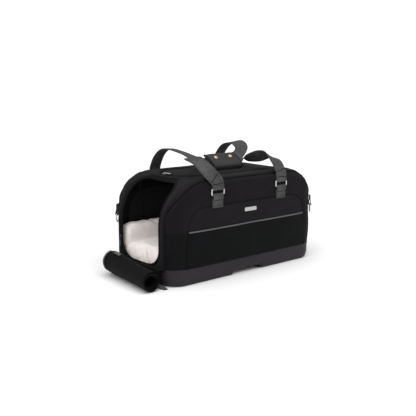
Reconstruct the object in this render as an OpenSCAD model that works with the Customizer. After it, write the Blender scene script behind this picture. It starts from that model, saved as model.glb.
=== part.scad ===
// Soft-sided pet carrier bag on a moulded base tray. The front door is rolled down on the floor,
// the top and rear doors are zipped shut, and two webbing handles meet in a grip over the top.
// X runs from the open front (-X) to the rear, Y from the near side (-Y) to the far side, Z up.

/* [Body] */
// Length of the bag
body_l = 570; // [480:1:690]
// Width of the bag
body_w = 280; // [230:1:340]
// Height of the top panel above the floor
body_h = 287; // [270:1:350]
// Corner radius in plan
plan_r = 54; // [40:1:70]
// Radius of the front and rear shoulders, seen from the side
shoulder_r = 130; // [100:1:140]
// Radius of the long top edges, seen from the end
edge_r = 16; // [8:1:24]
// Thickness of the padded fabric walls
wall = 3.5; // [2.5:0.1:5]

/* [Base tray] */
// Height of the moulded tray
tray_h = 48; // [40:1:60]
// Wall and floor thickness of the tray
tray_wall = 3; // [2:0.1:4]
// How far the tray draws in at the floor, front and rear
tray_toe = 24; // [10:1:34]
// How far the tray draws in at the floor, along the sides
tray_tuck = 9; // [4:1:14]
// Length of the channel under the middle of the tray
channel_l = 120; // [60:1:160]
// Height of that channel
channel_h = 12; // [8:1:14]

/* [Openings] */
// Clear width of the front and rear openings
mouth_w = 176; // [140:1:190]
// Height of their lower edge above the floor
mouth_z = 58; // [58:1:80]
// Distance from the end of the bag to their upper edge
mouth_depth = 80; // [60:1:90]
// Corner radius of the end openings
mouth_r = 42; // [20:1:60]
// Width of every zip track
zip_w = 7; // [5:0.5:9]
// Gap around a closed door
door_gap = 0.8; // [0.5:0.1:1.5]
// Length of the top door
roof_l = 358; // [280:1:370]
// Width of the top door
roof_w = 152; // [110:1:170]
// Radius of the top door's front corners
roof_r = 60; // [30:1:66]
// Radius of its corners at the hinge end
roof_heel_r = 14; // [6:1:20]

/* [Side pockets] */
// Length of a pocket along its upper edge line
pocket_l = 452; // [380:1:470]
// Height of the pocket's upper edge above the floor
pocket_z = 212; // [190:1:215]
// Height of the bright line across the pocket
trim_z = 149; // [120:1:170]
// Corner radius of the pocket
pocket_r = 56; // [30:1:60]
// Thickness of each pocket layer
pocket_t = 1.6; // [1:0.1:2.5]

/* [Handles] */
// Width of the handle webbing
strap_w = 40; // [30:1:42]
// Thickness of the handle webbing
strap_t = 2.6; // [1.5:0.1:3.2]
// Distance between a handle's two rings
ring_gap = 248; // [200:1:270]
// Height of the hinge bar of the rings
ring_z = 242; // [230:1:250]
// Height of a ring
ring_h = 20; // [16:1:26]
// Diameter of the ring wire
ring_d = 3.6; // [3:0.1:5]
// Length of the grip wrap
grip_l = 112; // [80:1:130]

/* [Bed] */
// Height of the bed's lying surface above the floor
bed_z = 86; // [70:1:95]
// Height of the bolster above the floor
bolster_z = 140; // [110:1:150]
// Width of the bolster
bolster_w = 46; // [30:1:60]

/* [Rolled front door] */
// Outer radius of the roll
roll_r = 30; // [18:1:30]
// Length of the roll
roll_l = 222; // [200:1:320]
// How far the roll sits towards the far side
roll_shift = -5; // [-10:1:40]

/* [Hidden] */

hl = body_l / 2;
hw = body_w / 2;
far_out = 200;                      // reach of a cutting block past the bag
seam_in = 5;                        // distance of the piping seam from the side of the bag
seam_turn = 25;                     // plan angle at which the seam runs down an end corner
corner_x = hl - plan_r;
corner_y = hw - plan_r;
shoulder_x = hl - shoulder_r;
shoulder_z = body_h - shoulder_r;
clear = 0.5;                        // gap between pieces that only lie together
board_t = 2;
hoop_w = 8;
hoop_t = 1.5;
piping_out = 2.5;
mouth_x = hl - mouth_depth;
roof_front = -roof_l / 2 + 3;
roof_rear = roof_l / 2 + 3;
rx = ring_gap / 2;
ring_y = hw + 2 * pocket_t + ring_d / 2 + 0.4;
loop_r = ring_d / 2 + 2.4;
bar_gap = 0.3;
roll_x = -(hl + roll_r + 7);
d_ring_r = 16;
d_wire = 3.8;
d_z = 168;
d_out = 4.6;
pull_t = 1.6;

fabric = [0.13, 0.125, 0.135];
knit = [0.09, 0.095, 0.1];
moulded = [0.24, 0.21, 0.235];
web = [0.38, 0.38, 0.39];
silver = [0.78, 0.77, 0.75];
zip = [0.06, 0.06, 0.065];
cream = [0.93, 0.9, 0.87];
hidden_board = [0.3, 0.3, 0.3];

// ---------- outlines ----------

function arc(cx, cy, r, a0, a1, n) =
    [for (i = [0:n]) let (a = a0 + (a1 - a0) * i / n) [cx + r * cos(a), cy + r * sin(a)]];

// side view of the bag, grown by d
function side_outline(d, z0) = concat(
    [[-hl - d, z0]],
    arc(-shoulder_x, shoulder_z, shoulder_r + d, 180, 90, 12),
    arc(shoulder_x, shoulder_z, shoulder_r + d, 90, 0, 12),
    [[hl + d, z0]]);

// end view of the bag, grown by d
function end_outline(d, z0) = concat(
    [[-hw - d, z0]],
    arc(-hw + edge_r, body_h - edge_r, edge_r + d, 180, 90, 4),
    arc(hw - edge_r, body_h - edge_r, edge_r + d, 90, 0, 4),
    [[hw + d, z0]]);

// rounded rectangle between two corners, with its own radius for the low-x and high-x corners
function rounded(x0, y0, x1, y1, r0, r1) = concat(
    arc(x0 + r0, y0 + r0, r0, 180, 270, 7),
    arc(x1 - r1, y0 + r1, r1, 270, 360, 7),
    arc(x1 - r1, y1 - r1, r1, 0, 90, 7),
    arc(x0 + r0, y1 - r0, r0, 90, 180, 7));

module along_x(l) rotate([90, 0, 90]) translate([0, 0, -l / 2]) linear_extrude(l) children();
module along_y(w) rotate([90, 0, 0]) translate([0, 0, -w / 2]) linear_extrude(w) children();

module plan_block(d, z0, z1)
    translate([0, 0, z0]) linear_extrude(z1 - z0)
        polygon(rounded(-hl - d, -hw - d, hl + d, hw + d, plan_r + d, plan_r + d));

// the whole upper bag as a solid, grown by d, above z0
module bag(d, z0) intersection() {
    along_y(body_w + far_out) polygon(side_outline(d, z0));
    along_x(body_l + far_out) polygon(end_outline(d, z0));
    plan_block(d, z0, body_h + far_out);
}

module bag_wall(out, inside) difference() {
    bag(out, tray_h);
    bag(inside, tray_h - 1);
}

// plan region between the two piping seams, grown by g
function seam_corner(g) = let (turn = g * 180 / (PI * plan_r)) concat(
    arc(corner_x, corner_y, plan_r - seam_in + g, 90, seam_turn + 6 + turn, 6),
    [[corner_x + (plan_r + 14) * cos(seam_turn + turn), corner_y + (plan_r + 14) * sin(seam_turn + turn)]]);

module seam_region(g) {
    q = seam_corner(g);
    n = len(q) - 1;
    linear_extrude(body_h + far_out) polygon(concat(
        [for (i = [0:n]) q[i]],
        [for (i = [0:n]) [q[n - i][0], -q[n - i][1]]],
        [for (i = [0:n]) [-q[i][0], -q[i][1]]],
        [for (i = [0:n]) [-q[n - i][0], q[n - i][1]]]));
}

// cutting block of the front opening, grown by d
module mouth(d) intersection() {
    rotate([90, 0, 90]) translate([0, 0, -hl - far_out]) linear_extrude(hl + far_out) mouth_face(d);
    translate([0, 0, -1]) linear_extrude(body_h + far_out) polygon(rounded(
        -hl - far_out, -mouth_w / 2 - d, -mouth_x + d, mouth_w / 2 + d, 5, mouth_r + d));
}
module rear_mouth(d) mirror([1, 0, 0]) mouth(d);

module mouth_face(d) polygon(concat(
    arc(-mouth_w / 2 + mouth_r, mouth_z + mouth_r, mouth_r + d, 180, 270, 7),
    arc(mouth_w / 2 - mouth_r, mouth_z + mouth_r, mouth_r + d, 270, 360, 7),
    [[mouth_w / 2 + d, body_h + far_out], [-mouth_w / 2 - d, body_h + far_out]]));

module roof_block(d) translate([0, 0, body_h - 30]) linear_extrude(60)
    polygon(rounded(roof_front - d, -roof_w / 2 - d, roof_rear + d, roof_w / 2 + d, roof_r + d, roof_heel_r + d));

// ---------- base ----------

// tray solid, drawn in by g on every side, with rounded lower edges
module tray_solid(g) intersection() {
    plan_block(-g, g, tray_h + (g > 0 ? 1 : 0));
    along_y(body_w + far_out) polygon(tray_profile(hl - g, tray_toe, g));
    along_x(body_l + far_out) polygon(tray_profile(hw - g, tray_tuck, g));
}

function tray_profile(half, toe, g) = concat(
    [[-half, tray_h + 2]],
    [for (i = [0:6]) let (a = 90 * i / 6) [-half + toe * (1 - cos(a)), g + toe * (1 - sin(a))]],
    [for (i = [6:-1:0]) let (a = 90 * i / 6) [half - toe * (1 - cos(a)), g + toe * (1 - sin(a))]],
    [[half, tray_h + 2]]);

module channel(g) along_y(body_w + far_out) polygon([
    [-channel_l / 2 - g, -1], [-channel_l / 2 + 10 - g, channel_h + g],
    [channel_l / 2 - 10 + g, channel_h + g], [channel_l / 2 + g, -1]]);

module base_tray() color(moulded) difference() {
    tray_solid(0);
    difference() {
        tray_solid(tray_wall);
        channel(tray_wall);
    }
    channel(0);
}

board_z = channel_h + tray_wall + clear;
board_in = tray_wall + 6;

module floor_board() color(hidden_board)
    plan_block(-board_in, board_z, board_z + 3);

bed_in = wall + board_t + 3;
bed_floor = board_z + 3 + clear;

module bed_cushion() color(cream) difference() {
    intersection() {
        plan_block(-bed_in, bed_floor, bolster_z);
        along_y(body_w) polygon([
            [-hl + bed_in, bed_floor], [hl - bed_in, bed_floor], [hl - bed_in, bolster_z],
            [-hl + bed_in + 34, bolster_z], [-hl + bed_in, bolster_z - 34]]);
    }
    translate([0, 0, bed_z]) linear_extrude(far_out) polygon(rounded(
        -hl - far_out, -hw + bed_in + bolster_w, hl - bed_in - bolster_w, hw - bed_in - bolster_w, 5, 36));
}

// ---------- walls ----------

module side_panel() color(fabric) difference() {
    bag_wall(0, -wall);
    seam_region(0);
    translate([-hl - far_out, 0, 0]) cube([2 * hl + 2 * far_out, hw + far_out, body_h + far_out]);
}
module side_panel_near() side_panel();
module side_panel_far() mirror([0, 1, 0]) side_panel();

// stiffening board sewn in behind a side panel
module side_board() color(hidden_board)
    translate([0, -hw + wall + board_t, 0]) rotate([90, 0, 0]) linear_extrude(board_t) polygon(concat(
        [[-corner_x, tray_h + 4]],
        arc(-shoulder_x, shoulder_z, shoulder_r - plan_r, 180, 90, 8),
        arc(shoulder_x, shoulder_z, shoulder_r - plan_r, 90, 0, 8),
        [[corner_x, tray_h + 4]]));
module side_board_near() side_board();
module side_board_far() mirror([0, 1, 0]) side_board();

module band_part(x0, x1) intersection() {
    bag_wall(0, -wall);
    seam_region(0);
    translate([x0, -far_out, 0]) cube([x1 - x0, 2 * far_out, body_h + far_out]);
}

band_front = (-mouth_x + roof_front) / 2;
band_rear = (mouth_x + roof_rear) / 2;

module front_frame() color(fabric) difference() {
    band_part(-hl - 10, band_front);
    mouth(zip_w);
    roof_block(zip_w);
}

module top_band() color(fabric) difference() {
    band_part(band_front, band_rear);
    roof_block(zip_w);
    mouth(zip_w);
    rear_mouth(zip_w);
}

module rear_frame() color(fabric) difference() {
    band_part(band_rear, hl + 10);
    rear_mouth(zip_w);
    roof_block(zip_w);
}

module piping() color(zip) intersection() {
    bag_wall(piping_out, 0);
    difference() {
        seam_region(piping_out);
        seam_region(-piping_out);
    }
    translate([-hl - far_out, -hw - far_out, 0])
        cube([2 * hl + 2 * far_out, hw + far_out, body_h + far_out]);
}
module piping_near() piping();
module piping_far() mirror([0, 1, 0]) piping();

// spring-steel hoop that holds the roof up, in a sleeve against the inside of the walls
module hoop() color(silver) difference() {
    along_x(hoop_w) polygon(end_outline(-wall - board_t - clear, tray_h + 4));
    along_x(hoop_w + 2) polygon(end_outline(-wall - board_t - clear - hoop_t, tray_h));
}
module front_hoop() translate([-shoulder_x - 34, 0, -6]) hoop();
module rear_hoop() translate([shoulder_x + 34, 0, -6]) hoop();

// ---------- doors ----------

track_in = -2.2;
track_out = 0.4;

module front_zip_track() color(zip) difference() {
    intersection() {
        bag_wall(track_out, track_in);
        mouth(zip_w);
        translate([-hl - 10, -hw, 0]) cube([hl - 10, body_w, body_h + 10]);
    }
    mouth(0);
}

module rear_zip_track() color(zip) difference() {
    intersection() {
        bag_wall(track_out, track_in);
        rear_mouth(zip_w);
        translate([20, -hw, 0]) cube([hl - 10, body_w, body_h + 10]);
    }
    rear_mouth(0);
}

module top_zip_track() color(zip) difference() {
    intersection() {
        bag_wall(track_out, track_in);
        roof_block(zip_w);
    }
    roof_block(0);
}

module top_door() color(fabric) intersection() {
    bag_wall(1, -wall + 1);
    roof_block(-door_gap);
}

window_in = 26;

module rear_door() color(fabric) difference() {
    intersection() {
        bag_wall(0, -wall);
        rear_mouth(-door_gap);
        translate([20, -hw, 0]) cube([hl, body_w, body_h + 10]);
    }
    rear_mouth(-window_in);
}

module rear_window() color(knit) intersection() {
    bag_wall(-1, -2);
    rear_mouth(-window_in - 0.05);
    translate([20, -hw, 0]) cube([hl, body_w, body_h + 10]);
}

flap_x = roll_x + roll_r;
flap_w = mouth_w + 36;

module door_flap() color(fabric) translate([0, -flap_w / 2, 0]) rotate([90, 0, 180])
    mirror([1, 0, 0]) linear_extrude(flap_w) polygon([
        [-hl - 0.6, mouth_z + 4], [-hl - 3.2, mouth_z + 4], [flap_x + 0.1, mouth_z - 8], [flap_x + 0.1, roll_r],
        [flap_x + 2.7, roll_r - 8], [flap_x + 2.7, mouth_z - 10]]);

module door_roll() color(fabric) translate([roll_x, roll_shift, roll_r]) rotate([90, 0, 0]) difference() {
    translate([0, 0, -roll_l / 2]) cylinder(h = roll_l, r = roll_r, $fn = 64);
    translate([0, 0, roll_l / 2 - 120]) cylinder(h = 121, r = roll_r - 6, $fn = 64);
}

module roll_pull_tab() color(web)
    translate([flap_x - 6, roll_shift - roll_l / 2 - 12, 0.2]) cube([14, 11.5, 2.4]);

// ---------- pockets ----------

function pocket_outline(d) = concat(
    [[-pocket_l / 2 - 7 - d, tray_h + 0.2]],
    arc(-pocket_l / 2 + pocket_r, pocket_z - pocket_r, pocket_r + d, 180, 90, 7),
    arc(pocket_l / 2 - pocket_r, pocket_z - pocket_r, pocket_r + d, 90, 0, 7),
    [[pocket_l / 2 + 7 + d, tray_h + 0.2]]);

// one layer over the side of the bag, between two distances from its surface
module side_layer(d0, d1, z0, z1, inset) intersection() {
    difference() {
        plan_block(d1, z0, z1);
        plan_block(d0, z0 - 1, z1 + 1);
    }
    translate([0, -hw / 2, 0]) rotate([90, 0, 0]) linear_extrude(hw) polygon(pocket_outline(-inset));
}

module pocket() color(fabric) side_layer(0, pocket_t, tray_h, pocket_z + 2, 0);
module mesh_pocket() color(knit) side_layer(pocket_t, 2 * pocket_t, tray_h + 1, trim_z - 2, 4);
module pocket_trim() color(silver) side_layer(pocket_t, 2 * pocket_t + 0.4, trim_z - 2, trim_z + 2, 4);
module pocket_near() pocket();
module pocket_far() mirror([0, 1, 0]) pocket();
module mesh_pocket_near() mesh_pocket();
module mesh_pocket_far() mirror([0, 1, 0]) mesh_pocket();
module pocket_trim_near() pocket_trim();
module pocket_trim_far() mirror([0, 1, 0]) pocket_trim();

badge_l = 46;
badge_h = 11;

module badge() color(silver) translate([0, -hw - pocket_t, (pocket_z + trim_z) / 2 + 8])
    rotate([90, 0, 0]) linear_extrude(1.2)
        polygon(rounded(-badge_l / 2, -badge_h / 2, badge_l / 2, badge_h / 2, 3, 3));

// ---------- handles ----------

// webbing tab with a sewn loop round the ring's hinge bar
module tab(x) color(web) translate([x, 0, 0]) difference() {
    union() {
        translate([-strap_w / 2 + 1, -ring_y + ring_d / 2 + bar_gap, pocket_z + 3])
            cube([strap_w - 2, ring_y - hw - ring_d / 2 - bar_gap, ring_z - pocket_z - 4]);
        translate([-strap_w / 2 + 1, -ring_y, ring_z]) rotate([0, 90, 0])
            cylinder(h = strap_w - 2, r = loop_r, $fn = 32);
    }
    translate([-strap_w, -ring_y, ring_z]) rotate([0, 90, 0])
        cylinder(h = 2 * strap_w, r = ring_d / 2 + bar_gap, $fn = 32);
    translate([-strap_w, -hw, 0]) cube([2 * strap_w, hw, body_h]);
}
module tab_near_front() tab(-rx);
module tab_near_rear() tab(rx);
module tab_far_front() mirror([0, 1, 0]) tab(-rx);
module tab_far_rear() mirror([0, 1, 0]) tab(rx);

// rectangular ring: two long bars and two short ones
module ring(x) color(silver) translate([x, -ring_y, ring_z]) {
    for (z = [0, ring_h - ring_d])
        translate([-strap_w / 2 - ring_d, 0, z]) rotate([0, 90, 0])
            cylinder(h = strap_w + 2 * ring_d, r = ring_d / 2, $fn = 32);
    for (s = [-1, 1]) translate([s * (strap_w / 2 + ring_d / 2), 0, ring_d / 4])
        cylinder(h = ring_h - 1.5 * ring_d, r = ring_d / 2 - 0.3, $fn = 32);
}
module ring_near_front() ring(-rx);
module ring_near_rear() ring(rx);
module ring_far_front() mirror([0, 1, 0]) ring(-rx);
module ring_far_rear() mirror([0, 1, 0]) ring(rx);

// A strap's route: each row is a point on its centre line, then the direction of its width.
// Across the bag the points are measured from the ring line inwards, along it from the ring or grip.
strap_top = ring_z + ring_h - ring_d;
near_route = [
    [[-rx, -ring_y, strap_top + 3], [1, 0, 0]],
    [[-rx - 1, -ring_y - 0.4, strap_top + 14], [1, 0, 0.08]],
    [[-rx - 12, -ring_y + 0.4, body_h + 2], [1, 0, 0.36]],
    [[-rx - 28, -ring_y + 11, body_h + 27], [1, -0.05, 0.35]],
    [[-rx - 31, -hw + 36, body_h + 46], [1, -0.15, 0.15]],
    [[-rx - 16, -hw + 78, body_h + 48], [0.85, -0.6, -0.1]],
    [[-rx + 24, -hw + 107, body_h + 38], [0.5, -0.85, -0.35]],
    [[-grip_l / 2 - 5, -hw + 118, body_h + 29.6], [0, -0.89, -0.45]],
    [[0, -hw + 118, body_h + 29], [0, -0.89, -0.45]],
    [[grip_l / 2 + 5, -hw + 118, body_h + 29.6], [0, -0.89, -0.45]],
    [[rx - 38, -hw + 106, body_h + 38], [-0.35, -0.85, 0]],
    [[rx - 18, -hw + 82, body_h + 47], [-0.65, -0.65, 0.4]],
    [[rx - 7, -hw + 44, body_h + 47], [-1, -0.25, 0.2]],
    [[rx - 8, -hw + 10, body_h + 28], [-1, 0, 0]],
    [[rx - 3, -ring_y + 0.4, body_h + 2], [-1, 0, 0]],
    [[rx, -ring_y - 0.4, strap_top + 14], [-1, 0, 0]],
    [[rx, -ring_y, strap_top + 3], [-1, 0, 0]]];
far_route = [
    [[-rx, ring_y, strap_top + 3], [-1, 0, 0]],
    [[-rx, ring_y + 0.4, strap_top + 14], [-1, 0, 0]],
    [[-rx, ring_y, body_h + 6], [-1, 0, 0]],
    [[-rx + 1, hw - 16, body_h + 42], [-1, -0.05, 0]],
    [[-rx + 8, hw - 46, body_h + 62], [-1, -0.3, 0.1]],
    [[-rx + 34, hw - 86, body_h + 52], [-0.7, -0.8, -0.1]],
    [[-grip_l / 2 - 8, hw - 142, body_h + 31], [-0.2, -0.9, -0.4]],
    [[0, hw - 160, body_h + 23], [0, -0.89, -0.45]],
    [[grip_l / 2 + 8, hw - 144, body_h + 31], [0.2, -0.9, -0.35]],
    [[rx + 4, hw - 108, body_h + 54], [0.7, -0.75, 0.1]],
    [[rx + 14, hw - 70, body_h + 70], [1, -0.3, 0.2]],
    [[rx + 4, hw - 30, body_h + 56], [1, -0.05, 0]],
    [[rx, ring_y, body_h + 8], [1, 0, 0]],
    [[rx, ring_y + 0.4, strap_top + 14], [1, 0, 0]],
    [[rx, ring_y, strap_top + 3], [1, 0, 0]]];

// smooth curve through four neighbouring rows, at t between the middle two
function spline(p0, p1, p2, p3, t) = 0.5 * (2 * p1 + (p2 - p0) * t
    + (2 * p0 - 5 * p1 + 4 * p2 - p3) * t * t + (3 * p1 - p0 - 3 * p2 + p3) * t * t * t);
function unit(v) = v / norm(v);
function row(list, i, k) = list[max(0, min(len(list) - 1, i))][k];
function on_route(list, k, s) = let (i = min(floor(s), len(list) - 2), t = s - i)
    spline(row(list, i - 1, k), row(list, i, k), row(list, i + 1, k), row(list, i + 2, k), t);

steps = 4;
module webbing(route, w, t) {
    count = (len(route) - 1) * steps;
    rings = [for (n = [0:count])
        let (s = n / steps, p = on_route(route, 0, s),
             along = unit(on_route(route, 0, min(s + 0.05, len(route) - 1)) - on_route(route, 0, max(s - 0.05, 0))),
             raw = on_route(route, 1, s), across = unit(raw - along * (raw * along)), up = cross(along, across))
        for (c = [[1, 1], [-1, 1], [-1, -1], [1, -1]])
            p + across * (c[0] * w / 2) + up * (c[1] * t / 2)];
    polyhedron(points = rings, faces = concat(
        [[3, 2, 1, 0]],
        [for (n = [0:count - 1], k = [0:3], half = [0, 1])
            let (a = 4 * n + k, b = 4 * n + (k + 1) % 4) half == 0 ? [a, b, b + 4] : [a, b + 4, a + 4]],
        [[4 * count, 4 * count + 1, 4 * count + 2, 4 * count + 3]]));
}

module handle_near() color(web) webbing(near_route, strap_w, strap_t);
module handle_far() color(web) webbing(far_route, strap_w, strap_t);

grip_tilt = 27;
grip_y = near_route[8][0][1];
grip_z = near_route[8][0][2];
grip_half = strap_w / 2 + 4;
wrap_top = 8.5;

// padded wrap that lies over both straps, closed on the near side
module grip_wrap() color(knit) translate([0, grip_y, grip_z]) rotate([grip_tilt, 0, 0]) along_x(grip_l) polygon([
    [-grip_half - 6, -8], [-grip_half - 6, 4], [-grip_half, wrap_top], [grip_half - 8, wrap_top], [grip_half, 6],
    [grip_half, 2.4], [-grip_half + 1, 2.4], [-grip_half - 1, 0], [-grip_half - 1, -8]]);

module grip_snaps() color(silver) translate([0, grip_y, grip_z]) rotate([grip_tilt, 0, 0])
    for (x = [-28, 28]) translate([x, 8, wrap_top + 0.02]) cylinder(h = 2, r = 5.5, $fn = 32);

// ---------- corner rings ----------

// frame at a rear corner: x along the surface, y outwards
module at_corner(z) translate([corner_x, -corner_y, z]) rotate([0, 0, 225]) translate([0, plan_r, 0]) children();

module d_tab() color(web) at_corner(d_z) difference() {
    union() {
        translate([-d_ring_r + 3.5, piping_out + 0.6, 2]) cube([2 * d_ring_r - 7, 2.4, 26]);
        translate([-d_ring_r + 3.5, d_out + d_wire / 2, 0]) rotate([0, 90, 0])
            cylinder(h = 2 * d_ring_r - 7, r = d_wire / 2 + 2, $fn = 32);
    }
    translate([-2 * d_ring_r, d_out + d_wire / 2, 0]) rotate([0, 90, 0])
        cylinder(h = 4 * d_ring_r, r = d_wire / 2 + bar_gap, $fn = 32);
}

module d_ring() color(silver) at_corner(d_z) translate([0, d_out + d_wire / 2, 0]) {
    translate([-d_ring_r, 0, 0]) rotate([0, 90, 0]) cylinder(h = 2 * d_ring_r, r = d_wire / 2, $fn = 32);
    translate([0, 0, -8]) rotate([-90, 0, 0]) rotate_extrude(angle = 180, $fn = 48)
        translate([d_ring_r, 0]) circle(d = d_wire, $fn = 24);
    for (s = [-1, 1]) translate([s * d_ring_r, 0, -8]) cylinder(h = 8, d = d_wire, $fn = 32);
}
module d_tab_rear() d_tab();
module d_tab_front() rotate([0, 0, 180]) d_tab();
module d_ring_rear() d_ring();
module d_ring_front() rotate([0, 0, 180]) d_ring();

// ---------- zip sliders and pulls ----------

slider_l = 11;
slider_h = 3;
pull_l = 26;
pull_w = 8;
pin_d = 1.6;

// slider lying on a surface, its nose towards +x, with the pull's bridge on top
module slider() color(silver) difference() {
    union() {
        translate([0, -4, 0]) cube([slider_l, 8, slider_h]);
        translate([1, -1.6, slider_h]) cube([5, 3.2, 3]);
    }
    translate([3.5, -5, slider_h + 1.4]) rotate([-90, 0, 0]) cylinder(h = 10, r = pin_d / 2 + 0.15, $fn = 24);
}

// pull with its pin through the bridge, lying back along -x
module pull() color(silver) {
    translate([3.5, -pull_w / 2, slider_h + 1.4]) rotate([-90, 0, 0]) cylinder(h = pull_w, r = pin_d / 2, $fn = 24);
    difference() {
        translate([-pull_l + 3.5, -pull_w / 2, slider_h + 0.6]) cube([pull_l, pull_w, pull_t]);
        translate([-6, -2.1, slider_h]) cube([16, 4.2, 4]);
    }
}

module at_top_zip() translate([roof_front - zip_w / 2, 18, body_h - 1.2]) rotate([0, 0, 90]) children();
module at_rear_zip() translate([hl + 0.6, mouth_w / 2 + zip_w / 2, 130]) rotate([0, 90, 0]) mirror([1, 0, 0]) children();
module at_front_zip() translate([-hl - 0.6, mouth_w / 2 + zip_w / 2, mouth_z + mouth_r + 2]) rotate([0, -90, 0]) children();
module top_zip_slider() at_top_zip() slider();
module top_zip_pull() at_top_zip() pull();
module rear_zip_slider() at_rear_zip() slider();
module rear_zip_pull() at_rear_zip() pull();
module front_zip_slider() at_front_zip() slider();
module front_zip_pull() at_front_zip() pull();

base_tray();
floor_board();
bed_cushion();
side_panel_near();
side_panel_far();
side_board_near();
side_board_far();
front_frame();
top_band();
rear_frame();
piping_near();
piping_far();
front_hoop();
rear_hoop();
front_zip_track();
top_zip_track();
rear_zip_track();
top_door();
rear_door();
rear_window();
door_flap();
door_roll();
roll_pull_tab();
pocket_near();
pocket_far();
mesh_pocket_near();
mesh_pocket_far();
pocket_trim_near();
pocket_trim_far();
badge();
tab_near_front();
tab_near_rear();
tab_far_front();
tab_far_rear();
ring_near_front();
ring_near_rear();
ring_far_front();
ring_far_rear();
handle_near();
handle_far();
grip_wrap();
grip_snaps();
d_tab_rear();
d_tab_front();
d_ring_rear();
d_ring_front();
top_zip_slider();
top_zip_pull();
rear_zip_slider();
rear_zip_pull();
front_zip_slider();
front_zip_pull();
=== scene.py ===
import math
import bmesh
import bpy
import numpy as np
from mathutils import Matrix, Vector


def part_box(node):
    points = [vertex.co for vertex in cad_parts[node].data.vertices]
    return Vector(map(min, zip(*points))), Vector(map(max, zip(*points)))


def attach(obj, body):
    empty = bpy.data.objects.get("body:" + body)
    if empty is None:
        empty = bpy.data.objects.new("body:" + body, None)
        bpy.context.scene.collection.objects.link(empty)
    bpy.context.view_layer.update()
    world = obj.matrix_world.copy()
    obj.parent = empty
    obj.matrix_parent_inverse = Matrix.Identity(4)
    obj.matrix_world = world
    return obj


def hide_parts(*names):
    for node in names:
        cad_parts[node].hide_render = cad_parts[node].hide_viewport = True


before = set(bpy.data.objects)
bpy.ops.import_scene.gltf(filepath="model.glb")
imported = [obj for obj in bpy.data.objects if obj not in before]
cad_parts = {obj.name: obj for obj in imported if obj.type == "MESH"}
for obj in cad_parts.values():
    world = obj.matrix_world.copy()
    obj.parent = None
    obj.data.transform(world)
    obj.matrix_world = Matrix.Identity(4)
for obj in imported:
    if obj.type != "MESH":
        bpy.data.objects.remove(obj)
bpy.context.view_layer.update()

# Soft-sided pet carrier on a moulded tray, in metres: +X to the rear, +Y to the far side, +Z up

body = {
    "halfLength": 0.285,
    "halfWidth": 0.140,
    "top": 0.287,
    "planRadius": 0.054,
    "shoulderRadius": 0.130,
    "seamIn": 0.005,
    "seamTurn": 25,
    "seamDrop": 0.0046,
    "wall": 0.0035,
    "trayTop": 0.048,
}
cornerX = body["halfLength"] - body["planRadius"]
cornerY = body["halfWidth"] - body["planRadius"]
shoulderX = body["halfLength"] - body["shoulderRadius"]
shoulderZ = body["top"] - body["shoulderRadius"]


# shader building

def fillSockets(tree, made, inputs):
    for key, value in (inputs or {}).items():
        if isinstance(value, bpy.types.NodeSocket):
            tree.links.new(value, made.inputs[key])
        else:
            made.inputs[key].default_value = value
    return made


def addNode(tree, kind, inputs=None, **settings):
    made = tree.nodes.new(kind)
    for key, value in settings.items():
        setattr(made, key, value)
    return fillSockets(tree, made, inputs)


def calc(tree, operation, a, b=0.0, c=0.0):
    return addNode(tree, "ShaderNodeMath", {0: a, 1: b, 2: c}, operation=operation).outputs[0]


def newGroup(name, inputs, outputs):
    group = bpy.data.node_groups.new(name, "ShaderNodeTree")
    for label, kind, value in inputs:
        socket = group.interface.new_socket(label, in_out="INPUT", socket_type=kind)
        socket.default_value = value
    for label, kind in outputs:
        group.interface.new_socket(label, in_out="OUTPUT", socket_type=kind)
    return group, group.nodes.new("NodeGroupInput"), group.nodes.new("NodeGroupOutput")


def placeGroup(tree, group, inputs=None):
    made = tree.nodes.new("ShaderNodeGroup")
    made.node_tree = group
    return fillSockets(tree, made, inputs)


def weaveGroup():
    # over-and-under cloth threads, from a flat layout in metres
    group, given, out = newGroup("clothWeave", [
        ("Layout", "NodeSocketVector", (0, 0, 0)),
        ("Pitch", "NodeSocketFloat", 0.0012),
        ("Twill", "NodeSocketFloat", 0.0)],
        [("Height", "NodeSocketFloat")])
    split = addNode(group, "ShaderNodeSeparateXYZ", {0: given.outputs["Layout"]})
    turns = calc(group, "DIVIDE", math.pi, given.outputs["Pitch"])
    along = calc(group, "MULTIPLY", split.outputs[0], turns)
    across = calc(group, "MULTIPLY", split.outputs[1], turns)
    slant = calc(group, "MULTIPLY", across, given.outputs["Twill"])
    warp = calc(group, "SINE", calc(group, "ADD", along, slant))
    weft = calc(group, "SINE", across)
    both = calc(group, "MULTIPLY", warp, weft)
    group.links.new(calc(group, "MULTIPLY_ADD", both, 0.5, 0.5), out.inputs["Height"])
    return group


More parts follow.
